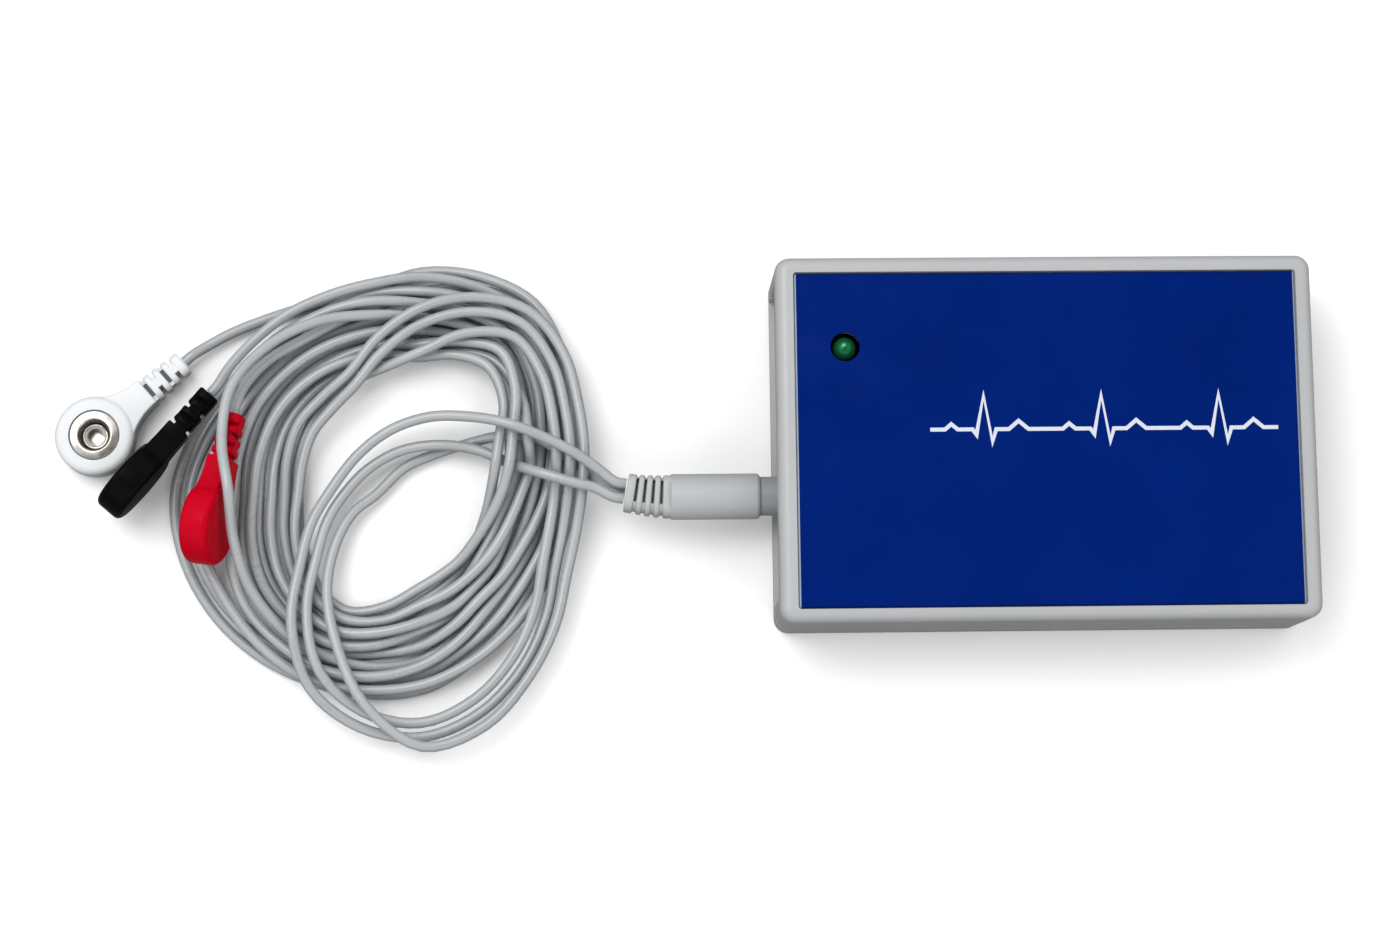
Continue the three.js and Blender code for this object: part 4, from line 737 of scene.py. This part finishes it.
def makeUpperShell():
    size = caseSizes
    seamTop = size["parting"] + size["seamHigh"]
    shell = centredSlab(size["long"] / 2, size["deep"] / 2, seamTop, size["high"], corner=size["corner"],
                        top=size["topRound"], cornerSteps=12, edgeSteps=8)
    under = [f for f in shell.faces if f.normal.z < -levelFace]
    bmesh.ops.inset_region(shell, faces=under, thickness=size["seamDeep"], depth=0, use_even_offset=True)
    under = [f for f in under if f.is_valid]
    extrudeUp(shell, under, -size["seamHigh"])
    bmesh.ops.delete(shell, geom=under, context="FACES")
    tray = centredSlab(size["trayX"], size["trayY"], size["roofTop"], size["high"] + overrun,
                       labelSizes["middle"], corner=size["trayCorner"], cornerSteps=6)
    window = cylinder(labelSizes["hole"] + gap, size["roofUnder"] - overrun, size["high"] + overrun,
                      lampSizes["place"])
    cutLow = size["parting"] - overrun
    cavity = centredSlab(size["cavityX"], size["cavityY"], cutLow, size["roofUnder"])
    shell = carved(shell, [cavity, endMouth(cutLow, size["mouthTop"]), tray, window])
    posts = [cylinder(postSizes["upper"], size["parting"] + gap, size["roofUnder"] + overlap, place)
             for place in atCorners(postSizes)]
    shanks = [cylinder(postSizes["shank"], 0, postSizes["bore"], place, postSizes["shankSides"])
              for place in atCorners(postSizes)]
    shell = carved(shell, shanks, posts)
    finishPiece(shell, "upper_case", "case", "case plastic", ["upper_shell"], edge=size["edge"])


def makeLowerShell():
    size = caseSizes
    low, high, parting = size["floor"] - overlap, size["parting"] + overrun, size["parting"]
    shell = centredSlab(size["long"] / 2, size["deep"] / 2, 0, parting, corner=size["corner"],
                        foot=size["footRound"], cornerSteps=12)
    cavity = centredSlab(size["cavityX"], size["cavityY"], size["floor"], high)
    shell = carved(shell, [cavity, endMouth(size["mouthLow"], high)])
    columns, cuts = [], []
    for (signX, signY), post, stand in zip(cornerSigns, atCorners(postSizes), atCorners(standSizes)):
        columns.append(cylinder(postSizes["lower"], low, parting, post))
        columns.append(cylinder(standSizes["radius"], low, standSizes["top"], stand, standSizes["sides"]))
        cuts.append(cylinder(postSizes["head"], -overrun, postSizes["headDeep"], post))
        cuts.append(cylinder(postSizes["shank"], 0, high, post, postSizes["shankSides"]))
        cuts.append(cylinder(standSizes["pilot"], standSizes["pilotLow"], high, stand,
                             standSizes["pilotSides"]))
        inner = size["cavityX"] - panelSizes["thick"] - gap
        ribX = sorted((signX * inner, signX * (inner - panelSizes["ribThick"])))
        ribY = sorted((signY * (size["cavityY"] - panelSizes["ribLong"]), signY * (size["cavityY"] + overlap)))
        columns.append(roundedSlab((ribX[0], ribY[0], low), (ribX[1], ribY[1], parting)))
    for side in (-1, 1):
        inside = side * (size["cavityY"] - size["lipBase"])
        base = sorted((inside, side * (size["cavityY"] + overlap)))
        tip = sorted((inside, side * (size["cavityY"] - gap)))
        columns.append(roundedSlab((-size["lipHalf"], base[0], low), (size["lipHalf"], base[1], parting)))
        columns.append(roundedSlab((-size["lipHalf"], tip[0], parting - overlap),
                                   (size["lipHalf"], tip[1], parting + size["lipAbove"])))
    shell = carved(shell, cuts, columns)
    finishPiece(shell, "lower_case", "case", "case plastic", ["lower_shell"], edge=size["lowerEdge"])


portSizes = {
    "y": 11.968, "half": 3.85, "low": 7.6, "high": 4, "front": 52.6, "long": 9.2, "skin": 0.45, "back": 1.5,
    "corner": 0.7, "lowCorner": 1.2, "holeHalf": 4.15, "hole": (7.3, 11.9), "holeCorner": 0.8,
}
keySizes = {
    "y": -13.988, "z": 12, "stem": 3.2, "flange": 4.3, "flangeIn": 49.4, "flangeOut": 51, "front": 54.6,
    "nub": 1.5, "nubIn": 48.6, "hole": 3.5, "dish": 0.25, "round": 0.6, "rim": 1, "dishFrom": 1.6,
    "flangeEdge": 0.2,
}


def makeEndPanel(side, name, node, cuts):
    size = panelSizes
    start, end = sorted((side * caseSizes["cavityX"], side * (caseSizes["cavityX"] - size["thick"])))
    plate = roundedSlab((start, -size["half"], size["low"]), (end, size["half"], size["top"]))
    finishPiece(carved(plate, cuts), name, "case", "panel plastic", [node], edge=size["edge"])


def makeEndPanels():
    start, end = caseSizes["cavityX"] - panelSizes["thick"] - overrun, caseSizes["cavityX"] + overrun
    plugHole = cylinder(panelSizes["plugHole"], -end, -start, steps=64)
    plugHole = laidAlongX(plugHole, plugSizes["y"], plugSizes["z"])
    makeEndPanel(-1, "lead_end_plate", "lead_end_panel", [plugHole])
    portHole = roundedSlab((start, portSizes["y"] - portSizes["holeHalf"], portSizes["hole"][0]),
                           (end, portSizes["y"] + portSizes["holeHalf"], portSizes["hole"][1]))
    roundEdges(portHole, edgesAlong(portHole, 0), portSizes["holeCorner"], 4)
    keyHole = laidAlongX(cylinder(keySizes["hole"], start, end, steps=64), keySizes["y"], keySizes["z"])
    makeEndPanel(1, "port_end_plate", "port_end_panel", [portHole, keyHole])


traceSizes = {
    "y": 1.5, "thick": 0.05, "wide": 0.8, "sink": 0.02, "sharpest": 0.35,
    "beats": [-13, 11, 35], "start": -24, "end": 47,
    # one heartbeat: distance from the beat's middle and height above the line
    "beat": [(-8, 0), (-6.7, 1.1), (-5.4, 0), (-2.4, 0), (-1.6, -1.1), (0, 7), (1.6, -2.6), (2.4, 0), (5, 0),
             (7, 1.7), (9, 0)],
}


# The plate's cut edge at its two ends is coloured lighter: partly the edge's own colour, partly a painted
# highlight on the two end bevels
def makeLabel():
    size = labelSizes
    plate = centredSlab(size["halfX"], size["halfY"], caseSizes["roofTop"], size["top"], size["middle"],
                        corner=size["corner"], top=size["bevel"], cornerSteps=6, edgeSteps=1)
    low, high = caseSizes["roofTop"] - overrun, size["top"] + overrun
    hole = cylinder(size["hole"], low, high, lampSizes["place"], 64)
    made = finishPiece(carved(plate, [hole]), "label_face", "case", "label gloss", ["label_plate"])
    made.data.materials.append(materials["label edge with painted highlight"])
    for face in made.data.polygons:
        away = abs(face.center[0] / mm - size["middle"][0])
        if face.normal.z < levelFace and away > size["halfX"] - size["bevel"]:
            face.material_index = 1


def makeTrace():
    size = traceSizes
    points = [(size["start"], 0)]
    for beat in size["beats"]:
        points += [(beat + x, y) for x, y in size["beat"]]
    points.append((size["end"], 0))
    bm = bmesh.new()
    half = size["wide"] / 2
    near, far = [], []
    for i, (x, y) in enumerate(points):
        before = Vector((x, y)) - Vector(points[max(i - 1, 0)])
        after = Vector(points[min(i + 1, len(points) - 1)]) - Vector((x, y))
        ways = [way.normalized() for way in (before, after) if way.length > samePlace]
        middle = sum(ways, Vector((0, 0))).normalized()
        across = Vector((-middle.y, middle.x)) * half / max(middle.dot(ways[0]), size["sharpest"])
        low = labelSizes["top"] - size["sink"]
        near.append(bm.verts.new((x - across.x, y - across.y + size["y"], low)))
        far.append(bm.verts.new((x + across.x, y + across.y + size["y"], low)))
    edges = [bm.edges.new(pair) for row in (near, far) for pair in zip(row, row[1:])]
    bmesh.ops.bridge_loops(bm, edges=edges)
    extrudeUp(bm, list(bm.faces), size["thick"])
    finishPiece(bm, "label_trace", "case", "trace ink")


makeUpperShell()
makeLowerShell()
makeEndPanels()
makeLabel()
makeTrace()
print("case made")


# Status lamp, with a painted highlight near the top of its dome and painted shade darkening it towards the rim

lampLooks = {
    "paintedHighlight": (-0.2, 0.5), "reach": 3.5,
    # share of the reach from the painted highlight, and the colour there
    "colors": [(0.07, (0.11, 0.34, 0.22)), (0.14, (0, 0.095, 0.03)), (0.5, (0, 0.085, 0.027)),
               (0.95, (0, 0.03, 0.01))],
}


# paints a pale highlight near the dome's top and painted shade darkening it towards the rim
def addPaintedHighlight(material):
    tree = material.node_tree
    variation = tree.nodes["Principled BSDF"].inputs["Base Color"].links[0].from_node
    middle = [at + aside for at, aside in zip(lampSizes["place"], lampLooks["paintedHighlight"])]
    middle.append(lampSizes["low"] + lampSizes["high"])
    place = addNode(tree, "TexCoord")
    apart = addNode(tree, "VectorMath", {"operation": "DISTANCE"}, {1: [length * mm for length in middle]})
    share = addNode(tree, "MapRange", values={"From Max": lampLooks["reach"] * mm})
    ramp = addNode(tree, "ValToRGB")
    stops = ramp.color_ramp.elements
    for i, (at, color) in enumerate(lampLooks["colors"]):
        stop = stops[i] if i < len(stops) else stops.new(at)
        stop.position = at
        stop.color = (*color, 1)
    wire(tree, (place, "Object", apart, 0), (apart, "Value", share, "Value"), (share, 0, ramp, "Fac"),
         (ramp, "Color", variation, "Color"))


def makeLamp():
    size = lampSizes
    low, edge, flange = size["low"], size["flangeEdge"], size["flange"]
    flangeTop, shoulder = low + size["flangeHigh"], low + size["high"] - size["dome"]
    outline = [(0, low), (flange - edge, low), (flange, low + edge), (flange, flangeTop - edge),
               (flange - edge, flangeTop), (size["dome"], flangeTop),
               *arc(0, shoulder, size["dome"], 0, 84, 14), (0, shoulder + size["dome"])]
    bm = spunProfile(outline, 48)
    bmesh.ops.translate(bm, vec=(*size["place"], 0), verts=bm.verts)
    finishPiece(bm, "lamp_lens", "case", "lamp resin", ["status_lamp"], sharp=50)
    addPaintedHighlight(materials["lamp resin"])


makeLamp()


# Push button and data port in the far end

def makeButton():
    size = keySizes
    flange, flangeIn, stem, front = size["flange"], size["flangeIn"], size["stem"], size["front"]
    outline = [(0, size["nubIn"]), (size["nub"], size["nubIn"]), (size["nub"], flangeIn),
               (flange - size["flangeEdge"], flangeIn), (flange, flangeIn + size["flangeEdge"]),
               (flange, size["flangeOut"]), (stem, size["flangeOut"]),
               *arc(stem - size["round"], front - size["round"], size["round"], 0, 90, 6),
               (stem - size["rim"], front), (stem - size["dishFrom"], front - size["dish"] * 0.6),
               (0, front - size["dish"])]
    button = laidAlongX(spunProfile(outline, 56), size["y"], size["z"])
    finishPiece(button, "record_key", "button", "nose plastic", ["record_button"], sharp=40)


# The port's throat, set in by this much all round: its upper edges are rounded and its lower ones slanted
def portThroat(inset, start, end):
    size = portSizes
    middle, half = size["low"] + size["high"] / 2, size["half"] - inset
    bm = roundedSlab((start, size["y"] - half, size["low"] + inset),
                     (end, size["y"] + half, size["low"] + size["high"] - inset))
    high = [e for e in edgesAlong(bm, 0) if e.verts[0].co.z > middle]
    low = [e for e in edgesAlong(bm, 0) if e.verts[0].co.z < middle]
    roundEdges(bm, high, size["corner"] - inset / 2, 4)
    roundEdges(bm, [e for e in low if e.is_valid], size["lowCorner"] - inset / 2, 1)
    return bm


def makePort():
    size = portSizes
    rear = size["front"] - size["long"]
    throat = portThroat(size["skin"], rear + size["back"], size["front"] + overrun)
    shell = carved(portThroat(0, rear, size["front"]), [throat])
    finishPiece(shell, "data_port_shell", "case", "spring steel", ["data_port"], edge=0.08)


makeButton()
makePort()
print("button and port made")


# Plug grip with its bent relief, and the nose

standAlongX = Matrix(((0, 0, 1), (1, 0, 0), (0, 1, 0))).to_4x4()  # turns a slab's height along the relief


def bendTurnMatrix(along):
    x, y, angle = bendPlace(along)
    return Matrix.Translation((x, y, plugSizes["z"])) @ Matrix.Rotation(-angle, 4, "Z") @ standAlongX


def reliefRib(long, wide, high, corner, edge, cornerSteps, turn):
    bm = centredSlab(wide / 2, high / 2, -long / 2, long / 2, corner=corner, top=edge, foot=edge,
                     cornerSteps=cornerSteps, edgeSteps=4)
    bmesh.ops.transform(bm, matrix=turn, verts=bm.verts)
    return bm


def gripRib(start, end, wide, high, corner, edge):
    return reliefRib(end - start, wide, high, corner, edge, 6, bendTurnMatrix((start + end) / 2))


gripLooks = {
    "rear": -76.5, "radius": 4.72, "rearRound": 0.45, "frontRound": 1, "slots": [2.7, 4.45, 6.2, 7.95],
    "slotLong": 0.56, "slotFrom": -1.9, "slotTo": 3, "slotFloor": 0.8, "wide": (8.6, 7.8), "high": 7.2,
    "ribEdge": 0.38, "sunk": 0.45, "coreHalf": 0.8,
}


def makeGrip():
    size = gripLooks
    shoulder, rear, radius = plugSizes["shoulder"], size["rear"], size["radius"]
    atRear, atFront = size["rearRound"], size["frontRound"]
    outline = [(0, rear), *arc(radius - atRear, rear + atRear, atRear, -90, 0, 4),
               *arc(radius - atFront, shoulder - atFront, atFront, 0, 90, 8), (0, shoulder)]
    barrel = laidAlongX(spunProfile(outline, 72), plugSizes["y"], plugSizes["z"])
    half, corner, sunk = size["slotLong"] / 2, plugSizes["round"], size["sunk"]
    starts = [0] + [slot + half for slot in size["slots"]]
    ends = [slot - half for slot in size["slots"]] + [plugSizes["bendLong"]]
    ribs, cuts = [], []
    for i, (start, end) in enumerate(zip(starts, ends)):
        wide = size["wide"][0] + (size["wide"][1] - size["wide"][0]) * i / len(size["slots"])
        ribs.append(gripRib(start, end, wide, size["high"], corner, size["ribEdge"]))
        if i:
            middle = size["slots"][i - 1]
            ribs.append(gripRib(middle - size["coreHalf"], middle + size["coreHalf"], wide - 2 * sunk,
                                size["high"] - 2 * sunk, corner - sunk, 0))
            for side in (-1, 1):
                low, high = sorted((side * size["slotFloor"], side * size["high"]))
                slot = roundedSlab((size["slotFrom"], low, -half), (size["slotTo"], high, half))
                bmesh.ops.transform(slot, matrix=bendTurnMatrix(middle), verts=slot.verts)
                cuts.append(slot)
    grip = carved(barrel, cuts, ribs)
    finishPiece(grip, "plug_barrel", "lead_set", "grip rubber", ["plug_grip"], sharp=38)


def makeNose():
    size = plugSizes
    nose = cylinder(size["noseRadius"], size["shoulder"], size["noseEnd"], steps=72)
    nose = laidAlongX(nose, size["y"], size["z"])
    finishPiece(nose, "plug_collar", "lead_set", "nose plastic", ["plug_nose"], edge=0.2)


makeGrip()
makeNose()
print("plug made")


# Snap connectors

# Four cuts part the relief's ribs. Webs at the sides and a core join them at the first and third cut, and a
# web in the middle does at the others.
reliefSizes = {
    "wide": (6, 5.2), "high": 4.6, "round": 1.6, "ribEdge": 0.32, "cutLong": 0.88, "cutWide": 3.2, "web": 1.9,
    "sideWebHigh": 2.5, "sideWebIn": 0.35, "webIn": 0.02, "overlap": 0.3, "core": (3.24, 1.9), "plainEnd": 1,
}
neckSteps = 12
hollowAngle = math.radians(20)  # a hollow edge that turns by more than this is softened


def reliefCuts():
    size = snapSizes
    pitch = (size["reliefTo"] - size["neckTo"]) / (size["slots"] + 0.5)
    inset = (size["slotLong"] - reliefSizes["cutLong"]) / 2
    return [size["neckTo"] + (i + 0.25) * pitch + inset for i in range(size["slots"])]


def bootNeck():
    size = snapSizes
    half, narrow = size["neckHigh"] / 2, reliefSizes["wide"][0] / 2
    ends = ((size["neckFrom"], size["neckWide"] / 2), (size["neckCurve"], narrow), (reliefCuts()[0], narrow))
    flank = []
    for step in range(neckSteps + 1):
        t = step / neckSteps
        weights = ((1 - t) ** 2, 2 * t * (1 - t), t * t)
        flank.append(tuple(sum(w * end[k] for w, end in zip(weights, ends)) for k in (0, 1)))
    bm = bmesh.new()
    outline = [(x, -y) for x, y in flank] + flank[::-1]
    extrudeUp(bm, [bm.faces.new([bm.verts.new((x, y, -half)) for x, y in outline])], 2 * half)
    bmesh.ops.recalc_face_normals(bm, faces=bm.faces)
    roundEdges(bm, rimEdges(bm, half) + rimEdges(bm, -half), size["neckRound"], 5)
    return bm


def bootRib(start, end, wide, high, corner, edge):
    turn = Matrix.Translation(((start + end) / 2, 0, 0)) @ standAlongX
    return reliefRib(end - start, wide, high, corner, edge, 8, turn)


def reliefPieces():
    size = reliefSizes
    cutAt = reliefCuts()
    pieces = []
    for i, start in enumerate(cutAt):
        end = start + size["cutLong"]
        wide = size["wide"][0] + (size["wide"][1] - size["wide"][0]) * i / (len(cutAt) - 1)
        ribEnd = cutAt[i + 1] if i + 1 < len(cutAt) else snapSizes["reliefTo"]
        pieces.append(bootRib(end, ribEnd, wide, size["high"], size["round"], size["ribEdge"]))
        low, high = start - size["overlap"], end + size["overlap"]
        if i % 2:
            up = size["high"] / 2 - size["webIn"]
            pieces.append(roundedSlab((low, -size["web"] / 2, -up), (high, size["web"] / 2, up)))
            continue
        up = size["sideWebHigh"] / 2
        for side in (-1, 1):
            inner, outer = sorted((side * size["cutWide"] / 2, side * (wide / 2 - size["sideWebIn"])))
            pieces.append(roundedSlab((low, inner, -up), (high, outer, up)))
        across, up = (length / 2 for length in size["core"])
        pieces.append(roundedSlab((low, -across, -up), (high, across, up)))
    return pieces


def softenHollows(bm, width):
    bm.normal_update()
    hollow = [e for e in bm.edges if e.is_manifold and e.calc_face_angle_signed(0) < -hollowAngle]
    roundEdges(bm, hollow, width, 3)
    return bm


def bootShape():
    size = snapSizes
    half, bead = size["thick"] / 2, size["round"]
    inner = size["radius"] - bead
    outline = [(0, -half), *arc(inner, bead - half, bead, -90, 0, 8), *arc(inner, half - bead, bead, 0, 90, 8),
               (0, half)]
    body = softenHollows(carved(spunProfile(outline, 96), [], [bootNeck()]), size["fillet"])
    cupTop = half + cupSizes["proud"]
    cuts = [cylinder(cupSizes[radius] + gap, cupTop - cupSizes[deep] - gap, half + overrun, steps=steps)
            for radius, deep, steps in (("flange", "flangeThick", 64), ("barrel", "deep", 48))]
    return carved(body, cuts, reliefPieces())


def makeBoot(name, turn):
    boot = finishPiece(bootShape(), name + "_boot", "lead_set", name + " rubber", [name + "_snap_boot"],
                       sharp=40, turn=turn)
    start, end = reliefCuts()[0], snapSizes["reliefTo"] - reliefSizes["plainEnd"]
    wide, high = reliefSizes["core"]
    # the core where the relief is cut through is painted dark grey: the lead's own grey, darkened as painted
    # shade of the narrow cuts
    refinish(boot, "relief core with painted shade", turn, lambda x, y, z: start < x < end and abs(y) < wide / 2
             and abs(abs(z) - high / 2) < closeBy)
    return boot


cupSizes = {
    "flange": 5, "flangeThick": 1, "flangeEdge": 0.15, "barrel": 3.5, "mouth": 2.95, "deep": 4.85, "base": 0.5,
    "bowl": 1.1, "proud": 0.15,
    # the ring's rim from its outer edge into the mouth: radius and depth under the top
    "rim": [(5, 0.38), (4.9, 0.26), (3.85, 0.02), (3.6, 0), (3.4, 0.08), (3.05, 0.5), (2.95, 0.7)],
    "inside": (3, 0.5),  # nearer the middle and deeper than this, the ring is painted dark as shade
    "springRadius": 2.425, "springThick": 0.22, "springDown": 2.6, "springOpen": 30,
}


def makeCup(name, turn):
    size = cupSizes
    top = snapSizes["thick"] / 2 + size["proud"]
    bottom, step = top - size["deep"], top - size["flangeThick"]
    floor = bottom + size["base"]
    bowl = [(size["mouth"] * math.cos(a), floor + size["bowl"] * (1 - math.sin(a)))
            for a in (math.radians(10 * i) for i in range(9))]
    outline = [(0, bottom), (size["barrel"], bottom), (size["barrel"], step),
               (size["flange"] - size["flangeEdge"], step), (size["flange"], step + size["flangeEdge"]),
               *((radius, top - down) for radius, down in size["rim"]), *bowl, (0, floor)]
    cup = finishPiece(spunProfile(outline, 72), name + "_snap_socket", "lead_set", "nickel plate",
                      [name + "_snap_cup"], sharp=25, turn=turn)
    # the cup's deep middle is painted darker, as shade
    radius, down = size["inside"]
    refinish(cup, "cup painted shade", turn, lambda x, y, z: math.hypot(x, y) < radius and z < top - down)
    return cup


def makeCupSpring(name, turn):
    size = cupSizes
    bm = bmesh.new()
    ring = bmesh.ops.create_circle(bm, segments=12, radius=size["springThick"])["verts"]
    bmesh.ops.rotate(bm, cent=(0, 0, 0), matrix=Matrix.Rotation(math.pi / 2, 3, "X"), verts=ring)
    height = snapSizes["thick"] / 2 + size["proud"] - size["springDown"]
    bmesh.ops.translate(bm, vec=(size["springRadius"], 0, height), verts=ring)
    start = math.radians(size["springOpen"] / 2)
    bmesh.ops.rotate(bm, cent=(0, 0, 0), matrix=Matrix.Rotation(start, 3, "Z"), verts=ring)
    bmesh.ops.spin(bm, geom=list(bm.verts) + list(bm.edges), cent=(0, 0, 0), axis=(0, 0, 1), dvec=(0, 0, 0),
                   angle=2 * math.pi - 2 * start, steps=48, use_merge=False, use_duplicate=False)
    bmesh.ops.holes_fill(bm, edges=bm.edges, sides=0)
    return finishPiece(bm, name + "_snap_ring", "lead_set", "spring steel", [name + "_snap_spring"],
                       sharp=60, turn=turn)


def makeSnap(spec):
    name, turn = spec["name"], snapFrame(spec)
    return [makeBoot(name, turn), makeCup(name, turn), makeCupSpring(name, turn)]


snaps = [makeSnap(spec) for spec in snapPlaces]
print("snaps made")


# Finishes of the inner pieces that stay as they are

innerLooks = {
    "board resin": ["circuit_board", "battery_guard_board"],
    "chip resin": ["processor_chip", "amplifier_chip", "memory_chip", "lamp_spacer", "lead_socket",
                   "button_switch", "data_port_tongue", "plug_insulator_rear", "plug_insulator_front",
                   "battery_wire_black"],
    "screw steel": [f"{kind}_screw_{i}" for kind in ("case", "board") for i in range(1, 5)]
                   + ["timing_crystal", "lamp_leg_left", "lamp_leg_right"],
    "nickel plate": ["socket_spring_sleeve", "socket_spring_ring", "socket_spring_tip", "plug_sleeve_contact",
                     "plug_ring_contact", "plug_tip_contact"],
    "foam": ["battery_pad"],
    "foil": ["battery_cell"],
    "white nylon": ["battery_socket", "battery_plug", "switch_plunger"],
    "red sleeve": ["battery_wire_red"],
}
for look, nodes in innerLooks.items():
    for node in nodes:
        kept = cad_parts[node]
        kept.data.materials.clear()
        kept.data.materials.append(materials[look])
print("inner pieces finished")


# Table and light

stageLooks = {
    "floor": 0.9, "floorBounce": 0.14,  # how light the table looks, and how much of the light it throws back
    "floorRough": 0.7, "floorHalf": 3, "floorDrop": 0.00005,
    "horizonLight": 0.25, "wallFrom": 0.5, "wallLight": 1.5,  # brightness at the table's level, and above it
    "ceilingLight": 0.04,  # the ceiling over the camera is dark, as the gloss shows
    "ceilingFrom": 0.82, "ceilingTo": 0.95,  # cosine of the angle from straight up
    "key": {"place": (-0.48, 0.32, 1.15), "size": (0.7, 0.7), "power": 8},
    "aim": (-0.07, 0, 0),
}


def makeStage():
    bm = bmesh.new()
    bmesh.ops.create_grid(bm, x_segments=1, y_segments=1, size=stageLooks["floorHalf"])
    bmesh.ops.translate(bm, vec=(0, 0, -stageLooks["floorDrop"]), verts=bm.verts)
    floor = addObject("table_top", toMesh(bm, "table top"))
    paper = bpy.data.materials.new("table white")
    paper.use_nodes = True
    shader = paper.node_tree.nodes["Principled BSDF"]
    path = addNode(paper.node_tree, "LightPath")
    shade = addNode(paper.node_tree, "MapRange", values={
        "To Min": stageLooks["floorBounce"], "To Max": stageLooks["floor"]})
    wire(paper.node_tree, (path, "Is Camera Ray", shade, "Value"), (shade, 0, shader, "Base Color"))
    shader.inputs["Roughness"].default_value = stageLooks["floorRough"]
    floor.data.materials.append(paper)


def makeWorld():
    world = bpy.data.worlds.new("studio")
    world.use_nodes = True
    tree = world.node_tree
    direction = addNode(tree, "TexCoord")
    parts = addNode(tree, "SeparateXYZ")
    rise = addNode(tree, "MapRange", values={
        "From Max": stageLooks["wallFrom"], "To Min": stageLooks["horizonLight"],
        "To Max": stageLooks["wallLight"]})
    dimming = addNode(tree, "MapRange", {"interpolation_type": "SMOOTHSTEP"}, {
        "From Min": stageLooks["ceilingFrom"], "From Max": stageLooks["ceilingTo"], "To Min": 1,
        "To Max": stageLooks["ceilingLight"]})
    both = addNode(tree, "Math", {"operation": "MULTIPLY"})
    background = tree.nodes["Background"]
    background.inputs["Color"].default_value = (1, 1, 1, 1)
    wire(tree, (direction, "Generated", parts, 0), (parts, "Z", rise, "Value"), (parts, "Z", dimming, "Value"),
         (rise, 0, both, 0), (dimming, 0, both, 1), (both, 0, background, "Strength"))
    bpy.context.scene.world = world


def makeLight(name):
    look = stageLooks[name]
    light = bpy.data.lights.new(name, "AREA")
    light.shape = "RECTANGLE"
    light.size, light.size_y = look["size"]
    light.energy = look["power"]
    holder = addObject(name, light)
    holder.location = look["place"]
    aim = Vector(stageLooks["aim"]) - Vector(look["place"])
    holder.rotation_euler = aim.to_track_quat("-Z", "Y").to_euler()


makeStage()
makeWorld()
makeLight("key")
